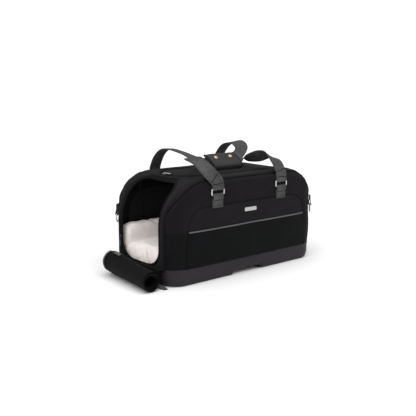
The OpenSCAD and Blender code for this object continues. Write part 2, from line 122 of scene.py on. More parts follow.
def heatherGroup():
    # mottled yarn: long light and dark flecks, and slow changes from wear
    group, given, out = newGroup("heatherYarn", [
        ("Layout", "NodeSocketVector", (0, 0, 0)),
        ("Light", "NodeSocketColor", (0.5, 0.5, 0.5, 1)),
        ("Dark", "NodeSocketColor", (0.1, 0.1, 0.1, 1)),
        ("Fleck", "NodeSocketFloat", 500.0),
        ("Stretch", "NodeSocketVector", (0.3, 1.0, 1.0))],
        [("Colour", "NodeSocketColor"), ("Fleck", "NodeSocketFloat")])
    pulled = addNode(group, "ShaderNodeVectorMath", {
        0: given.outputs["Layout"], 1: given.outputs["Stretch"]}, operation="MULTIPLY")
    fine = addNode(group, "ShaderNodeTexNoise", {
        "Vector": pulled.outputs[0], "Scale": given.outputs["Fleck"], "Detail": 3.0, "Roughness": 0.65})
    slow = addNode(group, "ShaderNodeTexNoise", {
        "Vector": given.outputs["Layout"], "Scale": 14.0, "Detail": 3.0})
    amount = calc(group, "MULTIPLY_ADD", slow.outputs[0], 0.45, calc(group, "MULTIPLY", fine.outputs[0], 0.75))
    shaped = addNode(group, "ShaderNodeMapRange", {
        "Value": amount, "From Min": 0.4, "From Max": 0.8, "To Min": 0.0, "To Max": 1.0})
    mixed = addNode(group, "ShaderNodeMix", {0: shaped.outputs[0], 6: given.outputs["Dark"],
                                             7: given.outputs["Light"]}, data_type="RGBA")
    group.links.new(mixed.outputs[2], out.inputs["Colour"])
    group.links.new(fine.outputs[0], out.inputs["Fleck"])
    return group


def knitGroup():
    # spacer knit: rows of small round dimples, every other row shifted
    group, given, out = newGroup("spacerKnit", [
        ("Layout", "NodeSocketVector", (0, 0, 0)),
        ("Pitch", "NodeSocketFloat", 0.0032),
        ("Hole", "NodeSocketFloat", 0.3)],
        [("Height", "NodeSocketFloat"), ("Hole", "NodeSocketFloat")])
    split = addNode(group, "ShaderNodeSeparateXYZ", {0: given.outputs["Layout"]})
    col = calc(group, "DIVIDE", split.outputs[0], given.outputs["Pitch"])
    row = calc(group, "DIVIDE", split.outputs[1], calc(group, "MULTIPLY", given.outputs["Pitch"], 0.86))
    odd = calc(group, "MULTIPLY", calc(group, "MODULO", calc(group, "FLOOR", row), 2.0), 0.5)
    px = calc(group, "SUBTRACT", calc(group, "FRACT", calc(group, "ADD", col, odd)), 0.5)
    py = calc(group, "SUBTRACT", calc(group, "FRACT", row), 0.5)
    reach = calc(group, "SQRT", calc(group, "ADD", calc(group, "MULTIPLY", px, px),
                                     calc(group, "MULTIPLY", py, py)))
    dimple = addNode(group, "ShaderNodeMapRange", {
        "Value": reach, "From Min": given.outputs["Hole"], "From Max": 0.5, "To Min": 0.0, "To Max": 1.0})
    dimple.interpolation_type = "SMOOTHSTEP"
    hole = calc(group, "LESS_THAN", reach, given.outputs["Hole"])
    group.links.new(dimple.outputs[0], out.inputs["Height"])
    group.links.new(hole, out.inputs["Hole"])
    return group


def stitchGroup():
    # dashes along the layout's first direction, on a line at a distance from its middle
    group, given, out = newGroup("stitchRow", [
        ("Layout", "NodeSocketVector", (0, 0, 0)),
        ("Line", "NodeSocketFloat", 0.016),
        ("Width", "NodeSocketFloat", 0.0007),
        ("Step", "NodeSocketFloat", 0.0045)],
        [("Mask", "NodeSocketFloat")])
    split = addNode(group, "ShaderNodeSeparateXYZ", {0: given.outputs["Layout"]})
    away = calc(group, "ABSOLUTE", calc(group, "SUBTRACT", calc(group, "ABSOLUTE", split.outputs[1]),
                                        given.outputs["Line"]))
    near = calc(group, "LESS_THAN", away, given.outputs["Width"])
    dash = calc(group, "LESS_THAN", calc(group, "FRACT", calc(group, "DIVIDE", split.outputs[0],
                                                             given.outputs["Step"])), 0.7)
    group.links.new(calc(group, "MULTIPLY", near, dash), out.inputs["Mask"])
    return group


def dustGroup():
    # faint dust that settles on what faces up, in patches
    group, given, out = newGroup("settledDust", [
        ("Amount", "NodeSocketFloat", 0.1),
        ("Scale", "NodeSocketFloat", 30.0)],
        [("Mask", "NodeSocketFloat"), ("Patch", "NodeSocketFloat")])
    place = addNode(group, "ShaderNodeTexCoord")
    normal = addNode(group, "ShaderNodeNewGeometry")
    up = addNode(group, "ShaderNodeSeparateXYZ", {0: normal.outputs["Normal"]})
    patch = addNode(group, "ShaderNodeTexNoise", {
        "Vector": place.outputs["Object"], "Scale": given.outputs["Scale"], "Detail": 5.0, "Roughness": 0.6})
    facing = addNode(group, "ShaderNodeMapRange", {"Value": up.outputs[2], "From Min": -0.2, "From Max": 1.0})
    mask = calc(group, "MULTIPLY", calc(group, "MULTIPLY", facing.outputs[0], patch.outputs[0]),
                given.outputs["Amount"])
    group.links.new(mask, out.inputs["Mask"])
    group.links.new(patch.outputs[0], out.inputs["Patch"])
    return group


clothWeave, heatherYarn, spacerKnit = weaveGroup(), heatherGroup(), knitGroup()
stitchRow, settledDust = stitchGroup(), dustGroup()


def newMaterial(name, **fixed):
    made = bpy.data.materials.new(name)
    made.use_nodes = True
    tree = made.node_tree
    shader = tree.nodes["Principled BSDF"]
    for key, value in fixed.items():
        label = {"sheen": "Sheen Weight", "sheenTint": "Sheen Tint", "sheenRough": "Sheen Roughness",
                 "rough": "Roughness", "metal": "Metallic", "specular": "Specular IOR Level",
                 "coat": "Coat Weight"}[key]
        shader.inputs[label].default_value = value
    return made, tree, shader


def mixColour(tree, factor, a, b, blend="MIX"):
    made = addNode(tree, "ShaderNodeMix", {0: factor, 6: a, 7: b}, data_type="RGBA", blend_type=blend)
    return made.outputs[2]


def spread(tree, value, low, high):
    return addNode(tree, "ShaderNodeMapRange", {"Value": value, "To Min": low, "To Max": high}).outputs[0]


def bump(tree, shader, height, strength, distance):
    made = addNode(tree, "ShaderNodeBump", {"Height": height, "Strength": strength, "Distance": distance})
    tree.links.new(made.outputs[0], shader.inputs["Normal"])


def grey(value, violet=0.0):
    return (value * (1 + violet * 0.6), value * (1 - violet * 0.6), value * (1 + violet), 1)


def clothMaterial(name, light, dark, pitch, twill=0.0, stitch=None, thread=None, depth=0.0005, dust=0.013,
                  sheen=0.03, fleck=500.0):
    made, tree, shader = newMaterial(name, rough=0.85, sheen=sheen, sheenRough=0.5, specular=0.12)
    layout = addNode(tree, "ShaderNodeUVMap").outputs[0]
    weave = placeGroup(tree, clothWeave, {"Layout": layout, "Pitch": pitch, "Twill": twill})
    yarn = placeGroup(tree, heatherYarn, {"Layout": layout, "Light": light, "Dark": dark, "Fleck": fleck})
    settled = placeGroup(tree, settledDust, {"Amount": dust})
    colour = mixColour(tree, spread(tree, weave.outputs["Height"], 0.0, 0.35), yarn.outputs["Colour"], dark)
    colour = mixColour(tree, settled.outputs["Mask"], colour, (0.4, 0.38, 0.36, 1))
    height = weave.outputs["Height"]
    if stitch:
        sewn = placeGroup(tree, stitchRow, {"Layout": layout, "Line": stitch})
        colour = mixColour(tree, sewn.outputs["Mask"], colour, thread)
        height = calc(tree, "MULTIPLY_ADD", sewn.outputs["Mask"], 1.6, height)
    tree.links.new(colour, shader.inputs["Base Color"])
    tree.links.new(spread(tree, yarn.outputs["Fleck"], 0.75, 0.95), shader.inputs["Roughness"])
    bump(tree, shader, height, 0.6, depth)
    return made


def knitMaterial(name, light, dark, pitch, hole, seeThrough=False, depth=0.0008):
    made, tree, shader = newMaterial(name, rough=0.9, sheen=0.025, sheenRough=0.5, specular=0.08)
    layout = addNode(tree, "ShaderNodeUVMap").outputs[0]
    knit = placeGroup(tree, spacerKnit, {"Layout": layout, "Pitch": pitch, "Hole": hole})
    yarn = placeGroup(tree, heatherYarn, {"Layout": layout, "Light": light, "Dark": dark, "Fleck": 700.0,
                                          "Stretch": (1.0, 1.0, 1.0)})
    settled = placeGroup(tree, settledDust, {"Amount": 0.009})
    colour = mixColour(tree, knit.outputs["Height"], dark, yarn.outputs["Colour"])
    colour = mixColour(tree, settled.outputs["Mask"], colour, (0.4, 0.38, 0.36, 1))
    tree.links.new(colour, shader.inputs["Base Color"])
    tree.links.new(spread(tree, yarn.outputs["Fleck"], 0.8, 0.98), shader.inputs["Roughness"])
    if seeThrough:
        tree.links.new(calc(tree, "SUBTRACT", 1.0, calc(tree, "MULTIPLY", knit.outputs["Hole"], 0.85)),
                       shader.inputs["Alpha"])
    bump(tree, shader, knit.outputs["Height"], 0.7, depth)
    return made


def metalMaterial(name, light, dark, rough, brush):
    made, tree, shader = newMaterial(name, rough=rough, metal=1.0)
    place = addNode(tree, "ShaderNodeTexCoord").outputs["Object"]
    pulled = addNode(tree, "ShaderNodeVectorMath", {0: place, 1: brush}, operation="MULTIPLY")
    lines = addNode(tree, "ShaderNodeTexNoise", {"Vector": pulled.outputs[0], "Scale": 600.0, "Detail": 3.0})
    settled = placeGroup(tree, settledDust, {"Amount": 0.12, "Scale": 120.0})
    colour = mixColour(tree, lines.outputs[0], light, dark)
    colour = mixColour(tree, settled.outputs["Mask"], colour, dark)
    tree.links.new(colour, shader.inputs["Base Color"])
    tree.links.new(calc(tree, "MULTIPLY_ADD", lines.outputs[0], 0.15, spread(tree, settled.outputs["Patch"],
                                                                         rough - 0.05, rough + 0.1)),
                   shader.inputs["Roughness"])
    bump(tree, shader, lines.outputs[0], 0.15, 0.0001)
    return made


def trayMaterial():
    made, tree, shader = newMaterial("mouldedTray", rough=0.55, specular=0.2)
    place = addNode(tree, "ShaderNodeTexCoord").outputs["Object"]
    pebble = addNode(tree, "ShaderNodeTexVoronoi", {"Vector": place, "Scale": 900.0})
    scuff = addNode(tree, "ShaderNodeTexNoise", {"Vector": place, "Scale": 22.0, "Detail": 6.0, "Roughness": 0.7})
    settled = placeGroup(tree, settledDust, {"Amount": 0.06, "Scale": 40.0})
    colour = mixColour(tree, scuff.outputs[0], (0.0165, 0.0125, 0.0165, 1), (0.022, 0.0175, 0.022, 1))
    colour = mixColour(tree, settled.outputs["Mask"], colour, (0.3, 0.28, 0.28, 1))
    tree.links.new(colour, shader.inputs["Base Color"])
    tree.links.new(spread(tree, scuff.outputs[0], 0.42, 0.62), shader.inputs["Roughness"])
    bump(tree, shader, pebble.outputs["Distance"], 0.25, 0.0003)
    return made


def plushMaterial():
    made, tree, shader = newMaterial("plushPile", rough=0.95, sheen=0.5, sheenRough=0.4, specular=0.1)
    place = addNode(tree, "ShaderNodeTexCoord").outputs["Object"]
    pile = addNode(tree, "ShaderNodeTexNoise", {"Vector": place, "Scale": 420.0, "Detail": 4.0, "Roughness": 0.7})
    tuft = addNode(tree, "ShaderNodeTexNoise", {"Vector": place, "Scale": 60.0, "Detail": 3.0})
    colour = mixColour(tree, tuft.outputs[0], (0.86, 0.80, 0.76, 1), (0.93, 0.88, 0.85, 1))
    colour = mixColour(tree, spread(tree, pile.outputs[0], 0.0, 0.25), colour, (0.72, 0.66, 0.62, 1))
    tree.links.new(colour, shader.inputs["Base Color"])
    tree.links.new(spread(tree, pile.outputs[0], 0.85, 1.0), shader.inputs["Roughness"])
    bump(tree, shader, calc(tree, "MULTIPLY_ADD", tuft.outputs[0], 1.5, pile.outputs[0]), 0.5, 0.0012)
    return made


cloths = {"shellLight": grey(0.0095, 0.16), "shellDark": grey(0.0040, 0.16), "weavePitch": 0.0011,
          "knitLight": (0.0054, 0.0060, 0.0070, 1), "knitDark": (0.0018, 0.0020, 0.0024, 1),
          "knitPitch": 0.0034, "knitHole": 0.22, "seamHeight": 0.149}
shell = clothMaterial("shellCloth", cloths["shellLight"], cloths["shellDark"], cloths["weavePitch"])
knitLow = knitMaterial("knitCloth", cloths["knitLight"], cloths["knitDark"], cloths["knitPitch"], cloths["knitHole"])
lining = clothMaterial("liningCloth", (0.017, 0.019, 0.018, 1), (0.008, 0.009, 0.0085, 1), 0.0009)
rollCloth = clothMaterial("rollCloth", grey(0.0036, 0.06), grey(0.0016, 0.06), 0.0011, dust=0.003, sheen=0.01)
meshSee = knitMaterial("meshCloth", (0.02, 0.022, 0.02, 1), (0.008, 0.009, 0.008, 1), 0.003, 0.34, True)
pipingCloth = clothMaterial("pipingCloth", grey(0.004), grey(0.002), 0.0008, dust=0.01, sheen=0.0)
zipCloth = clothMaterial("zipTape", grey(0.006), grey(0.003), 0.0008, dust=0.02, sheen=0.0)
webbing = clothMaterial("webbingHeather", grey(0.125, 0.02), grey(0.022, 0.02), 0.0019, twill=1.0, stitch=0.0165,
                        thread=grey(0.05), depth=0.0008, fleck=350.0)
threadCloth = clothMaterial("threadCloth", grey(0.02), grey(0.006), 0.0006, sheen=0.0)
gripCloth = clothMaterial("gripCloth", grey(0.06, -0.02), grey(0.018, -0.02), 0.0012, twill=1.0)
reflective = clothMaterial("reflectiveTape", grey(0.16), grey(0.08), 0.0008, sheen=0.0)
# painted highlight: light grey colour for the bright strips painted on the rolled door
rollHighlightPaint = clothMaterial("paintedRollHighlight", grey(0.16), grey(0.07), 0.0010, sheen=0.0)
tray = trayMaterial()
plush = plushMaterial()
silver = metalMaterial("ringSilver", (0.86, 0.84, 0.80, 1), (0.55, 0.52, 0.47, 1), 0.22, (1, 1, 1))
darkMetal = metalMaterial("darkMetal", (0.05, 0.05, 0.055, 1), (0.02, 0.02, 0.022, 1), 0.35, (1, 1, 1))
satin = metalMaterial("satinMetal", (0.66, 0.66, 0.65, 1), (0.4, 0.4, 0.4, 1), 0.35, (0.1, 1, 1))
copper = metalMaterial("snapCopper", (0.80, 0.66, 0.58, 1), (0.42, 0.31, 0.26, 1), 0.28, (1, 1, 1))
print("materials made")


# mesh building

def addPiece(name, points, faces, material, bodyName, standsFor=(), layout=None, sharp=50):
    mesh = bpy.data.meshes.new(name)
    mesh.from_pydata([tuple(map(float, p)) for p in points], [], faces)
    solid = bmesh.new()
    solid.from_mesh(mesh)
    bmesh.ops.recalc_face_normals(solid, faces=solid.faces)
    solid.to_mesh(mesh)
    solid.free()
    mesh.shade_smooth()
    if sharp:
        mesh.set_sharp_from_angle(angle=math.radians(sharp))
    if layout is not None:
        flat = np.asarray(layout, float)
        corner = np.zeros(len(mesh.loops), int)
        mesh.loops.foreach_get("vertex_index", corner)
        mesh.uv_layers.new(name="UVMap").data.foreach_set("uv", flat[corner].ravel())
    mesh.materials.append(material)
    made = bpy.data.objects.new(name, mesh)
    bpy.context.scene.collection.objects.link(made)
    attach(made, bodyName)
    if standsFor:
        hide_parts(*standsFor)
    return made


def loftFaces(count, size, around=True, along=False, caps="none"):
    # quads over a stack of loops with the same number of points
    faces = []
    for i in range(count if along else count - 1):
        a, b = i * size, ((i + 1) % count) * size
        for j in range(size if around else size - 1):
            k = (j + 1) % size
            faces.append((a + j, a + k, b + k, b + j))
    last = (count - 1) * size
    if caps == "fan":
        faces += [tuple(range(size)), tuple(range(last, last + size))]
    if caps == "strip":
        for base in (0, last):
            faces += [(base + j, base + j + 1, base + size - 2 - j, base + size - 1 - j)
                      for j in range(size // 2 - 1)]
    return faces


def stacked(loops):
    return np.concatenate([np.asarray(loop, float) for loop in loops])


def ripple(p, size, seed):
    # slow, even unevenness of soft cloth, between about -1 and 1
    source = np.random.default_rng(seed)
    total = 0.0
    for i in range(5):
        turn = source.normal(size=3)
        turn = turn / np.linalg.norm(turn) * (2 * math.pi / size) * (0.6 + 0.35 * i)
        total = total + np.sin(p @ turn + source.uniform(0, 6.28)) / (1 + 0.5 * i)
    return total / 2.2


def smooth(path, steps, closed=False):
    # points on a smooth curve through the given ones
    p = np.asarray(path, float)
    n = len(p)
    made = []
    for i in range(n if closed else n - 1):
        pick = [(i + k) % n if closed else min(max(i + k, 0), n - 1) for k in (-1, 0, 1, 2)]
        p0, p1, p2, p3 = p[pick]
        for t in np.arange(steps) / steps:
            made.append(0.5 * (2 * p1 + (p2 - p0) * t + (2 * p0 - 5 * p1 + 4 * p2 - p3) * t ** 2
                               + (3 * p1 - p0 - 3 * p2 + p3) * t ** 3))
    if not closed:
        made.append(p[-1])
    return np.array(made)


def lengths(path):
    return np.concatenate([[0], np.cumsum(np.linalg.norm(np.diff(path, axis=0), axis=1))])


def tube(name, path, radius, material, bodyName, standsFor=(), closed=False, sides=10,
         flatten=1.0, upHint=(0, 0, 1)):
    path = np.asarray(path, float)
    n = len(path)
    if closed:
        step = np.roll(path, -1, 0) - np.roll(path, 1, 0)
    else:
        step = np.gradient(path, axis=0)
    step /= np.linalg.norm(step, axis=1)[:, None]
    normal = np.cross(step[0], upHint)
    normal /= np.linalg.norm(normal)
    loops, layout, run = [], [], lengths(path)
    for i in range(n):
        normal = normal - step[i] * (normal @ step[i])
        normal /= np.linalg.norm(normal)
        side = np.cross(step[i], normal)
        angle = np.arange(sides) * 2 * math.pi / sides
        loops.append(path[i] + radius * (np.cos(angle)[:, None] * normal
                                           + flatten * np.sin(angle)[:, None] * side))
        layout += [(run[i], radius * a) for a in angle]
    faces = loftFaces(n, sides, True, closed, "none" if closed else "fan")
    return addPiece(name, stacked(loops), faces, material, bodyName, standsFor, layout)


def ribbon(name, path, across, width, thick, material, bodyName, standsFor=(), crown=0.0):
    # a strap with rounded edges, swept along a path with a direction for its width at each point
    path, across = np.asarray(path, float), np.asarray(across, float)
    step = np.gradient(path, axis=0)
    step /= np.linalg.norm(step, axis=1)[:, None]
    across = across - step * (across * step).sum(1)[:, None]
    across /= np.linalg.norm(across, axis=1)[:, None]
    up = np.cross(step, across)
    half = width / 2
    lane = np.array([-half, -half + 0.0008, -half * 0.6, 0, half * 0.6, half - 0.0008, half])
    rise = np.array([0.25, 0.5, 0.5, 0.5, 0.5, 0.5, 0.25]) * thick
    bow = crown * (1 - (lane / half) ** 2)
    outline = [(a, b + c) for a, b, c in zip(lane, rise, bow)]
    outline += [(a, -b + c) for a, b, c in reversed(list(zip(lane, rise, bow)))]
    run = lengths(path)
    loops, layout = [], []
    for i in range(len(path)):
        loops.append([path[i] + across[i] * a + up[i] * b for a, b in outline])
        layout += [(run[i], a) for a, b in outline]
    faces = loftFaces(len(path), len(outline), True, False, "strip")
    return addPiece(name, stacked(loops), faces, material, bodyName, standsFor, layout, sharp=60)


def loopOutline(s0, s1, half, r0, r1, corner=9, side=8):
    # closed outline in (s, y): a rounded rectangle with its own corner sizes at the low and high end
    points = []
    centres = [(s0 + r0[0], -half + r0[1], r0, 180), (s1 - r1[0], -half + r1[1], r1, 270),
               (s1 - r1[0], half - r1[1], r1, 0), (s0 + r0[0], half - r0[1], r0, 90)]
    for n, (cs, cy, r, start) in enumerate(centres):
        arc = [(cs + r[0] * math.cos(math.radians(start + 90 * i / corner)),
                cy + r[1] * math.sin(math.radians(start + 90 * i / corner))) for i in range(corner + 1)]
        points += arc
        ns, ny, nr, nstart = centres[(n + 1) % 4]
        to = (ns + nr[0] * math.cos(math.radians(nstart)), ny + nr[1] * math.sin(math.radians(nstart)))
        points += [(arc[-1][0] + (to[0] - arc[-1][0]) * i / side, arc[-1][1] + (to[1] - arc[-1][1]) * i / side)
                   for i in range(1, side)]
    return np.array(points)


# the bag's surface

riseEnd = shoulderZ - body["trayTop"]
archLength = body["shoulderRadius"] * math.pi / 2
marks = np.cumsum([riseEnd, archLength, 2 * shoulderX, archLength, riseEnd])


def profile(s):
    # side view: from the tray's rim at the front, over the roof, down to the rim at the rear
    s = np.asarray(s, float)
    r = body["shoulderRadius"]
    a = np.clip((s - marks[0]) / r, 0, math.pi / 2)
    b = np.clip((s - marks[2]) / r, 0, math.pi / 2)
    flat = np.clip(s - marks[1], 0, 2 * shoulderX)
    down = np.clip(s - marks[3], 0, None)
    up = np.minimum(s, marks[0])
    x = -shoulderX - r * np.cos(a) + flat + r * np.sin(b)
    z = body["trayTop"] + up + r * np.sin(a) - r * (1 - np.cos(b)) - down
    nx, nz = -np.cos(a) + np.sin(b), np.sin(a) - (1 - np.cos(b))
    return x, z, nx, nz


def profileAt(x):
    # distance along the profile to a place on the roof or shoulders
    r = body["shoulderRadius"]
    if x < -shoulderX:
        return marks[0] + r * math.acos((-shoulderX - x) / r)
    if x > shoulderX:
        return marks[2] + r * math.asin((x - shoulderX) / r)
    return marks[1] + x + shoulderX


seamRadius = body["planRadius"] - body["seamIn"]
seamAngles = np.radians(np.arange(90, 30, -3))
seamXs = np.concatenate([[0], cornerX + seamRadius * np.cos(seamAngles), [0.2799, 0.2852]])
seamYs = np.concatenate([[0.135], cornerY + seamRadius * np.sin(seamAngles), [0.1088, 0.1088]])


def seamHalf(x):
    return np.interp(np.abs(x), seamXs, seamYs)


def bandPoint(s, y, out):
    # a point on the band that runs over the bag between the two piped seams
    s, y, out = np.broadcast_arrays(np.asarray(s, float), y, out)
    x, z, nx, nz = profile(s)
    half = seamHalf(x)
    start = np.interp(np.abs(x), [cornerX, body["halfLength"]], [0.122, 0.082])
    k = np.clip((np.abs(y) - start) / (half - start), 0, 1.1)
    slope = 2 * body["seamDrop"] * k / (half - start)
    long = np.sqrt(1 + slope ** 2)
    lift = out / long - body["seamDrop"] * k ** 2
    return np.stack([x + nx * lift, y + np.sign(y) * slope / long * out, z + nz * lift], -1)


def seamPath(side, out=0.0, count=150, s0=-0.004):
    s = np.linspace(s0, marks[4] - s0, count)
    x, z, nx, nz = profile(s)
    return bandPoint(s, side * seamHalf(x), out)


# panels of the band

softness = {"puff": 0.0022, "framePuff": 0.0048, "waver": 0.0012, "seamDip": 0.0012}


def bandRing(name, inner, outerEnds, material, standsFor, seed):
    # a panel of the band with a hole in it: from the hole's outline to the seams and end edges
    s0, s1 = outerEnds
    outer = loopOutline(s0, s1, 1.0, (0.0001, 0.0001), (0.0001, 0.0001))
    holeX = profile(inner[:, 0])[0]
    holeV = inner[:, 1] / seamHalf(holeX)
    steps = np.array([0, 0.03, 0.08, 0.16, 0.28, 0.4, 0.5, 0.6, 0.72, 0.84, 0.92, 0.97, 1.0])
    loops, layout = [], []
    for inside in (False, True):
        for t in (steps if not inside else steps[::-1]):
            s = inner[:, 0] * (1 - t) + outer[:, 0] * t
            v = holeV * (1 - t) + outer[:, 1] * t
            y = v * seamHalf(profile(s)[0])
            if inside:
                out = -body["wall"] * np.ones_like(s)
            else:
                base = bandPoint(s, y, 0)
                window = np.clip(4 * t * (1 - t), 0, 1) ** 0.7
                puff = softness["puff" if name == "roofBand" else "framePuff"]
                out = (puff + softness["waver"] * ripple(base, 0.07, seed)) * window
                out -= softness["seamDip"] * (t > 0.97) + (t < 0.03) * softness["seamDip"]
            loops.append(bandPoint(s, y, out))
            layout += list(np.stack([s, y], -1))
    return addPiece(name, stacked(loops), loftFaces(len(loops), len(outer), True, True), material, "bag",
                    standsFor, layout)


def bandDisc(name, outline, out, thick, crown, material, bodyName, standsFor, seed, waver=0.001,
             hole=None):
    # a panel that fills an outline, or the ring between an outline and a hole
    centre = outline.mean(0)
    steps = [0.02, 0.1, 0.2, 0.3, 0.4, 0.5, 0.6, 0.7, 0.78, 0.86, 0.92, 0.96, 0.985, 1.0]
    loops, layout = [], []
    for inside in (False, True):
        for t in (steps if not inside else steps[::-1]):
            flat = (hole * (1 - t) + outline * t) if hole is not None else centre + (outline - centre) * t
            base = bandPoint(flat[:, 0], flat[:, 1], 0)
            window = max(0.0, 1 - t ** 2) if hole is None else 4 * t * (1 - t)
            lift = out + (crown + waver * ripple(base, 0.09, seed)) * window ** 0.7
            round_ = 0.0008 * (t > 0.99 or (hole is not None and t < 0.03))
            off = lift - thick * inside + (round_ if inside else -round_)
            loops.append(bandPoint(flat[:, 0], flat[:, 1], off))
            layout += list(flat)
    along = hole is not None
    faces = loftFaces(len(loops), len(outline), True, along, "none" if along else "fan")
    return addPiece(name, stacked(loops), faces, material, bodyName, standsFor, layout)


mouth = {"half": 0.088, "sill": 0.058, "frontSill": 0.0518, "footReach": 0.046, "footHalf": 0.058,
         "depth": 0.205, "radius": 0.042, "zip": 0.007}
roof = {"front": -0.176, "rear": 0.182, "half": 0.076, "frontRadius": 0.060, "rearRadius": 0.014}


def mouthOutline(grow, rear=False):
    s0 = mouth["sill" if rear else "frontSill"] - body["trayTop"] - grow
    s1 = profileAt(-mouth["depth"] + grow)
    r = mouth["radius"] + grow
    sLow = profileAt(-mouth["depth"] - mouth["radius"])
    foot = (r, r) if rear else (mouth["footReach"] + grow, mouth["footHalf"] + grow)
    made = loopOutline(s0, s1, mouth["half"] + grow, foot, (s1 - sLow, r))
    if rear:
        made = made[::-1].copy()
        made[:, 0] = marks[4] - made[:, 0]
    return made


def roofOutline(grow):
    s0, s1 = profileAt(roof["front"] - grow), profileAt(roof["rear"] + grow)
    f, h = roof["frontRadius"] + grow, roof["rearRadius"] + grow
    return loopOutline(s0, s1, roof["half"] + grow, (f, f), (h, h))


bandFront = profileAt(-0.1905)
bandRear = profileAt(0.1935)
zipWidth = mouth["zip"]

bandRing("frontFrame", mouthOutline(zipWidth), (-0.0065, bandFront), shell, ["front_frame"], 11)
bandRing("roofBand", roofOutline(zipWidth), (bandFront, bandRear), shell, ["top_band"], 12)
rearOutline = mouthOutline(zipWidth, True)


def matched(outline, target):
    # turns a closed outline's start so that it pairs best with another of the same count
    best = min(range(len(outline)), key=lambda k: np.abs(np.roll(outline, -k, 0) - target).sum())
    return np.roll(outline, -best, 0)


rearEnds = (bandRear, marks[4] + 0.003)
rearTarget = loopOutline(rearEnds[0], rearEnds[1], 0.12, (0.0001, 0.0001), (0.0001, 0.0001))
bandRing("rearFrame", matched(rearOutline, rearTarget), rearEnds, shell, ["rear_frame"], 13)
bandDisc("roofDoor", roofOutline(-0.0008), 0.0018, 0.0043, 0.0035, shell, "roof_door",
         ["top_door"], 14)
windowIn = 0.026
doorOutline = mouthOutline(-0.0008, True)
windowOutline = mouthOutline(-windowIn, True)
bandDisc("rearDoor", doorOutline, 0.0, 0.0035, 0.0015, shell, "back_door", ["rear_door"], 15,
         hole=windowOutline)
bandDisc("rearWindow", mouthOutline(-windowIn + 0.004, True), -0.0012, 0.0009, 0.0004, meshSee, "back_door",
         ["rear_window"], 16, waver=0.0006)
print("band and doors made")


# zips and piping

def zipTrack(name, outline, standsFor):
    # tape with a raised coil down its middle
    inner, outer = outline(-0.0012), outline(zipWidth + 0.0002)
    across = [0, 0.12, 0.3, 0.36, 0.42, 0.5, 0.58, 0.64, 0.7, 0.88, 1.0]
    height = [0.0, 0.0002, 0.0002, 0.0010, 0.0016, 0.0018, 0.0016, 0.0010, 0.0002, 0.0002, 0.0]
    fine = 5

    def denser(loop):
        nxt = np.roll(loop, -1, 0)
        return np.concatenate([[a + (b - a) * i / fine for i in range(fine)] for a, b in zip(loop, nxt)])
    inner, outer = denser(inner), denser(outer)
    teeth = 1 + 0.35 * np.where(np.arange(len(inner)) % 2, 1, -1)
    loops, layout = [], []
    for t, h in zip(across, height):
        flat = inner * (1 - t) + outer * t
        lift = h * (teeth if h > 0.0005 else 1) + 0.0002
        loops.append(bandPoint(flat[:, 0], flat[:, 1], lift))
        layout += list(flat)
    for t in (1.0, 0.0):
        flat = inner * (1 - t) + outer * t
        loops.append(bandPoint(flat[:, 0], flat[:, 1], -0.0022))
        layout += list(flat)
    return addPiece(name, stacked(loops), loftFaces(len(loops), len(inner), True, True), zipCloth, "bag",
                    standsFor, layout)


zipTrack("frontZip", lambda g: mouthOutline(g), ["front_zip_track"])
zipTrack("rearZip", lambda g: mouthOutline(g, True), ["rear_zip_track"])
zipTrack("roofZip", lambda g: roofOutline(g), ["top_zip_track"])


def outlineTube(name, outline, out, radius, material):
    loop = bandPoint(outline[:, 0], outline[:, 1], out)
    return tube(name, loop, radius, material, "bag", closed=True, sides=8)


outlineTube("frontMouthBinding", mouthOutline(zipWidth + 0.0012), 0.0002, 0.0016, pipingCloth)
outlineTube("rearMouthBinding", mouthOutline(zipWidth + 0.0012, True), 0.0002, 0.0016, pipingCloth)
outlineTube("roofBinding", roofOutline(zipWidth + 0.0012), 0.0006, 0.0017, pipingCloth)
outlineTube("roofFold", roofOutline(zipWidth + 0.0052), 0.0010, 0.0022, shell)
outlineTube("roofStitch", roofOutline(zipWidth + 0.0088), 0.0004, 0.0010, pipingCloth)
for side, label in ((-1, "near"), (1, "far")):
    tube(label + "Piping", seamPath(side, 0.0004), 0.0024, pipingCloth, "bag", ["piping_" + label],
         upHint=(1, 0, 0))
for s, label in ((bandFront, "front"), (bandRear, "rear")):
    y = np.linspace(-1, 1, 40) * seamHalf(profile(s)[0])
    tube(label + "RoofSeam", bandPoint(np.full(40, s), y, 0.0001), 0.0012, pipingCloth, "bag", sides=8)
print("zips and piping made")


# side panels

